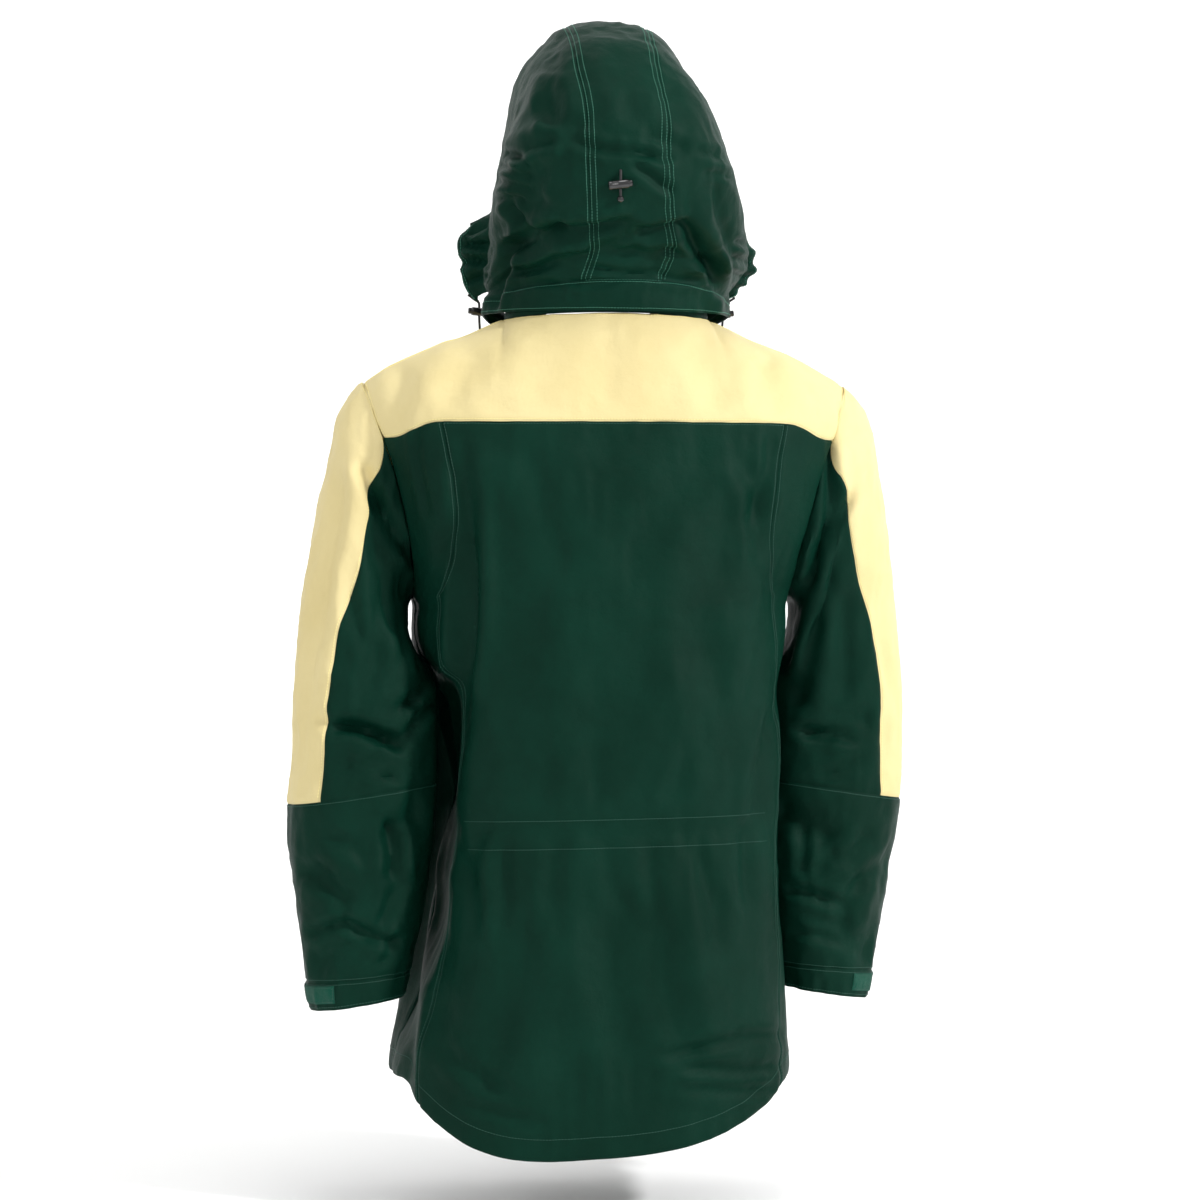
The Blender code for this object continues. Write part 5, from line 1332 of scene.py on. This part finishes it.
SEAM_STITCH = 0.0026     # distance of a row of stitches from its seam
HEM_STITCH = 0.022
HOOD_CHANNEL = (0.168, 0.150)
WAIST_CHANNEL = (-0.508, -0.536)
WAIST_SLOPE = 0.02       # the waist channel falls this much towards the wearer's left


def edge_lines(*rows):
    """Stitch lines from rows of a panel, its edge and the distances from that edge."""
    return [edge_line(name, edge, d) for name, edge, *distances in rows for d in distances]


def make_stitching(thread_green, thread_light, thread_yellow):
    hood = edge_lines(
        ("hood_centre", "u0", 0.0022, 0.0075), ("hood_centre", "u1", 0.0022, 0.0075),
        ("hood_side_L", "u0", 0.0024), ("hood_side_R", "u0", 0.0024),
        ("hood_band", "v1", 0.0024), ("hood_band", "v0", 0.0028),
        ("hood_edge", "v0", 0.0022), ("hood_edge", "v1", 0.0030))
    stitches("stitching_hood", hood, thread_light, "shell_green")
    channel = [level_line("hood_centre", lambda x, h=height: h) for height in HOOD_CHANNEL]
    stitches("stitching_hood_channel", channel, thread_light, "shell_green")
    body = edge_lines(
        ("back_panel", "u0", SEAM_STITCH), ("back_panel", "u1", SEAM_STITCH),
        ("back_panel", "v0", 0.0024), ("back_panel", "v1", HEM_STITCH))
    body += [level_line("back_panel", lambda x, h=height: h - WAIST_SLOPE * x, (0.10, 0.90))
             for height in WAIST_CHANNEL]
    for letter in "LR":
        body += edge_lines(
            (f"side_back_{letter}", "v1", HEM_STITCH), (f"front_{letter}", "v1", HEM_STITCH),
            (f"front_{letter}", "u0", 0.010), (f"side_back_{letter}", "u0", SEAM_STITCH))
    stitches("stitching_body", body, thread_green, "shell_green")
    yoke = edge_lines(
        ("back_yoke", "v1", SEAM_STITCH), ("back_yoke", "v0", 0.0030),
        ("back_yoke", "u0", SEAM_STITCH), ("back_yoke", "u1", SEAM_STITCH))
    for letter in "LR":
        yoke += edge_lines(*((f"front_yoke_{letter}", edge, SEAM_STITCH)
                             for edge in ("v1", "v0")))
        yoke += edge_lines(*((f"sleeve_outer_{letter}", edge, SEAM_STITCH)
                             for edge in ("v0", "u0", "u1")))
    stitches("stitching_yoke", yoke, thread_yellow, "shell_yellow")
    for letter in "LR":
        lines = edge_lines(
            (f"forearm_{letter}", "v0", SEAM_STITCH), (f"forearm_{letter}", "v1", SEAM_STITCH),
            (f"cuff_{letter}", "v0", SEAM_STITCH), (f"cuff_{letter}", "v1", 0.0034))
        for edge in ("u0", "u1", "v0", "v1"):
            lines += edge_lines((f"cuff_patch_{letter}", edge, 0.0016),
                                (f"cuff_tab_{letter}", edge, 0.0020))
        stitches(f"stitching_sleeve_{letter}", lines, thread_green, "shell_green")


FLOOR_Z = -0.90
FLOOR_FRONT = 3.2        # how far the floor runs towards the camera
FLOOR_HALF_WIDTH = 3.0
WALL_BEND_Y = -0.75      # where the floor starts to turn up
WALL_BEND_RADIUS = 0.35
WALL_HEIGHT = 2.6


def make_stage():
    """Pale floor that turns up into a pale wall beyond the jacket."""
    bend = [(WALL_BEND_Y - WALL_BEND_RADIUS * math.sin(t), WALL_BEND_RADIUS * (1 - math.cos(t)))
            for t in np.linspace(0, math.pi / 2, 16)]
    profile = [(FLOOR_FRONT, 0.0)] + bend + [(WALL_BEND_Y - WALL_BEND_RADIUS, WALL_HEIGHT)]
    vertices = [(x, y, FLOOR_Z + z) for y, z in profile
                for x in (-FLOOR_HALF_WIDTH, FLOOR_HALF_WIDTH)]
    faces = [(2 * k, 2 * k + 1, 2 * k + 3, 2 * k + 2) for k in range(len(profile) - 1)]
    pale = hard_material("studio_pale", (0.93, 0.93, 0.925), 0.9, grain=0.0)
    new_mesh("studio_floor", vertices, faces, pale)


WORLD_LIGHT = 0.55
# Each disk light: its name, place, the point that it faces, power and size.
LIGHTS = [
    ("key", (-3.0, 2.1, 1.7), (0, 0, -0.25), 150, 0.4),
    ("fill", (2.4, 2.6, 0.9), (0, 0, -0.35), 30, 1.6),
    ("top", (0.2, 0.6, 2.6), (0, 0, 0), 26, 1.4),
]


def add_light(name, place, aim, energy, size):
    data = bpy.data.lights.new(name, "AREA")
    data.energy = energy
    data.shape = "DISK"
    data.size = size
    light = bpy.data.objects.new(name, data)
    bpy.context.scene.collection.objects.link(light)
    light.location = place
    way = Vector(aim) - Vector(place)
    light.rotation_euler = way.to_track_quat("-Z", "Y").to_euler()


def make_lights():
    world = bpy.data.worlds.new("studio")
    bpy.context.scene.world = world
    world.use_nodes = True
    background = world.node_tree.nodes["Background"]
    background.inputs["Color"].default_value = (1, 1, 1, 1)
    background.inputs["Strength"].default_value = WORLD_LIGHT
    for row in LIGHTS:
        add_light(*row)


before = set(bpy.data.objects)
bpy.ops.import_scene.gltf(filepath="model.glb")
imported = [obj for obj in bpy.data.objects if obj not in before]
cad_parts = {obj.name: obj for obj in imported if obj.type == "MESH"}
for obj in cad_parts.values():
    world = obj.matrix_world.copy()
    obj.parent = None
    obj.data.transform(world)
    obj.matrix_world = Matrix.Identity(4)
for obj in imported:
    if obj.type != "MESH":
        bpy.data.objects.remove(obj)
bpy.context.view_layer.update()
add_camera()
black = hard_material("gloss_black", BLACK, 0.22, grain=0.05, coat=0.4)
cord_black = hard_material("cord_black", (0.012, 0.012, 0.013), 0.75, grain=0.8)
make_locks_and_cords(black, cord_black)
green = cloth_material("nylon_green", GREEN_DARK, GREEN_LIGHT, 0.48, sheen=0.0,
                       specular=0.06)
yellow = cloth_material("nylon_yellow", YELLOW_DARK, YELLOW_LIGHT, 0.56, sheen=0.0,
                        specular=0.15)
fleece = cloth_material("fleece_green", (0.002, 0.026, 0.017), (0.005, 0.045, 0.030), 0.95,
                        thread=0.002, weave=0.2, sheen=0.12, nap=1.0, crumple=0.8, specular=0.1)
loop = cloth_material("loop_tape", (0.002, 0.055, 0.033), (0.005, 0.100, 0.062), 0.9,
                      thread=0.0011, weave=1.0, sheen=0.1, nap=0.6, specular=0.15)
tape = cloth_material("tape_green", (0.005, 0.050, 0.036), (0.008, 0.070, 0.050), 0.7,
                      thread=0.0009, weave=0.8)
thread_green = hard_material("thread_green", (0.006, 0.055, 0.036), 0.6, grain=0.5)
thread_light = hard_material("thread_light", (0.030, 0.150, 0.100), 0.6, grain=0.5)
thread_yellow = hard_material("thread_yellow", (0.780, 0.660, 0.290), 0.6, grain=0.5)
steel = hard_material("plated_steel", STEEL, 0.28, 1.0, grain=0.2)
make_body_cloth(green, yellow)
for side, letter in ((1, "L"), (-1, "R")):
    make_sleeve_cloth(side, letter, green, yellow, fleece, loop)
make_hood_cloth(green)
make_collar_cloth(green)
make_zip_tape(tape)
make_zip_teeth(black)
make_stitching(thread_green, thread_light, thread_yellow)
for node, material in (("zip_slider", steel), ("zip_pull", steel), ("cord_bead_back", black),
                       ("cord_bead_front_L", black), ("cord_bead_front_R", black)):
    bpy.data.objects[node].material_slots[0].material = material
make_stage()
make_lights()
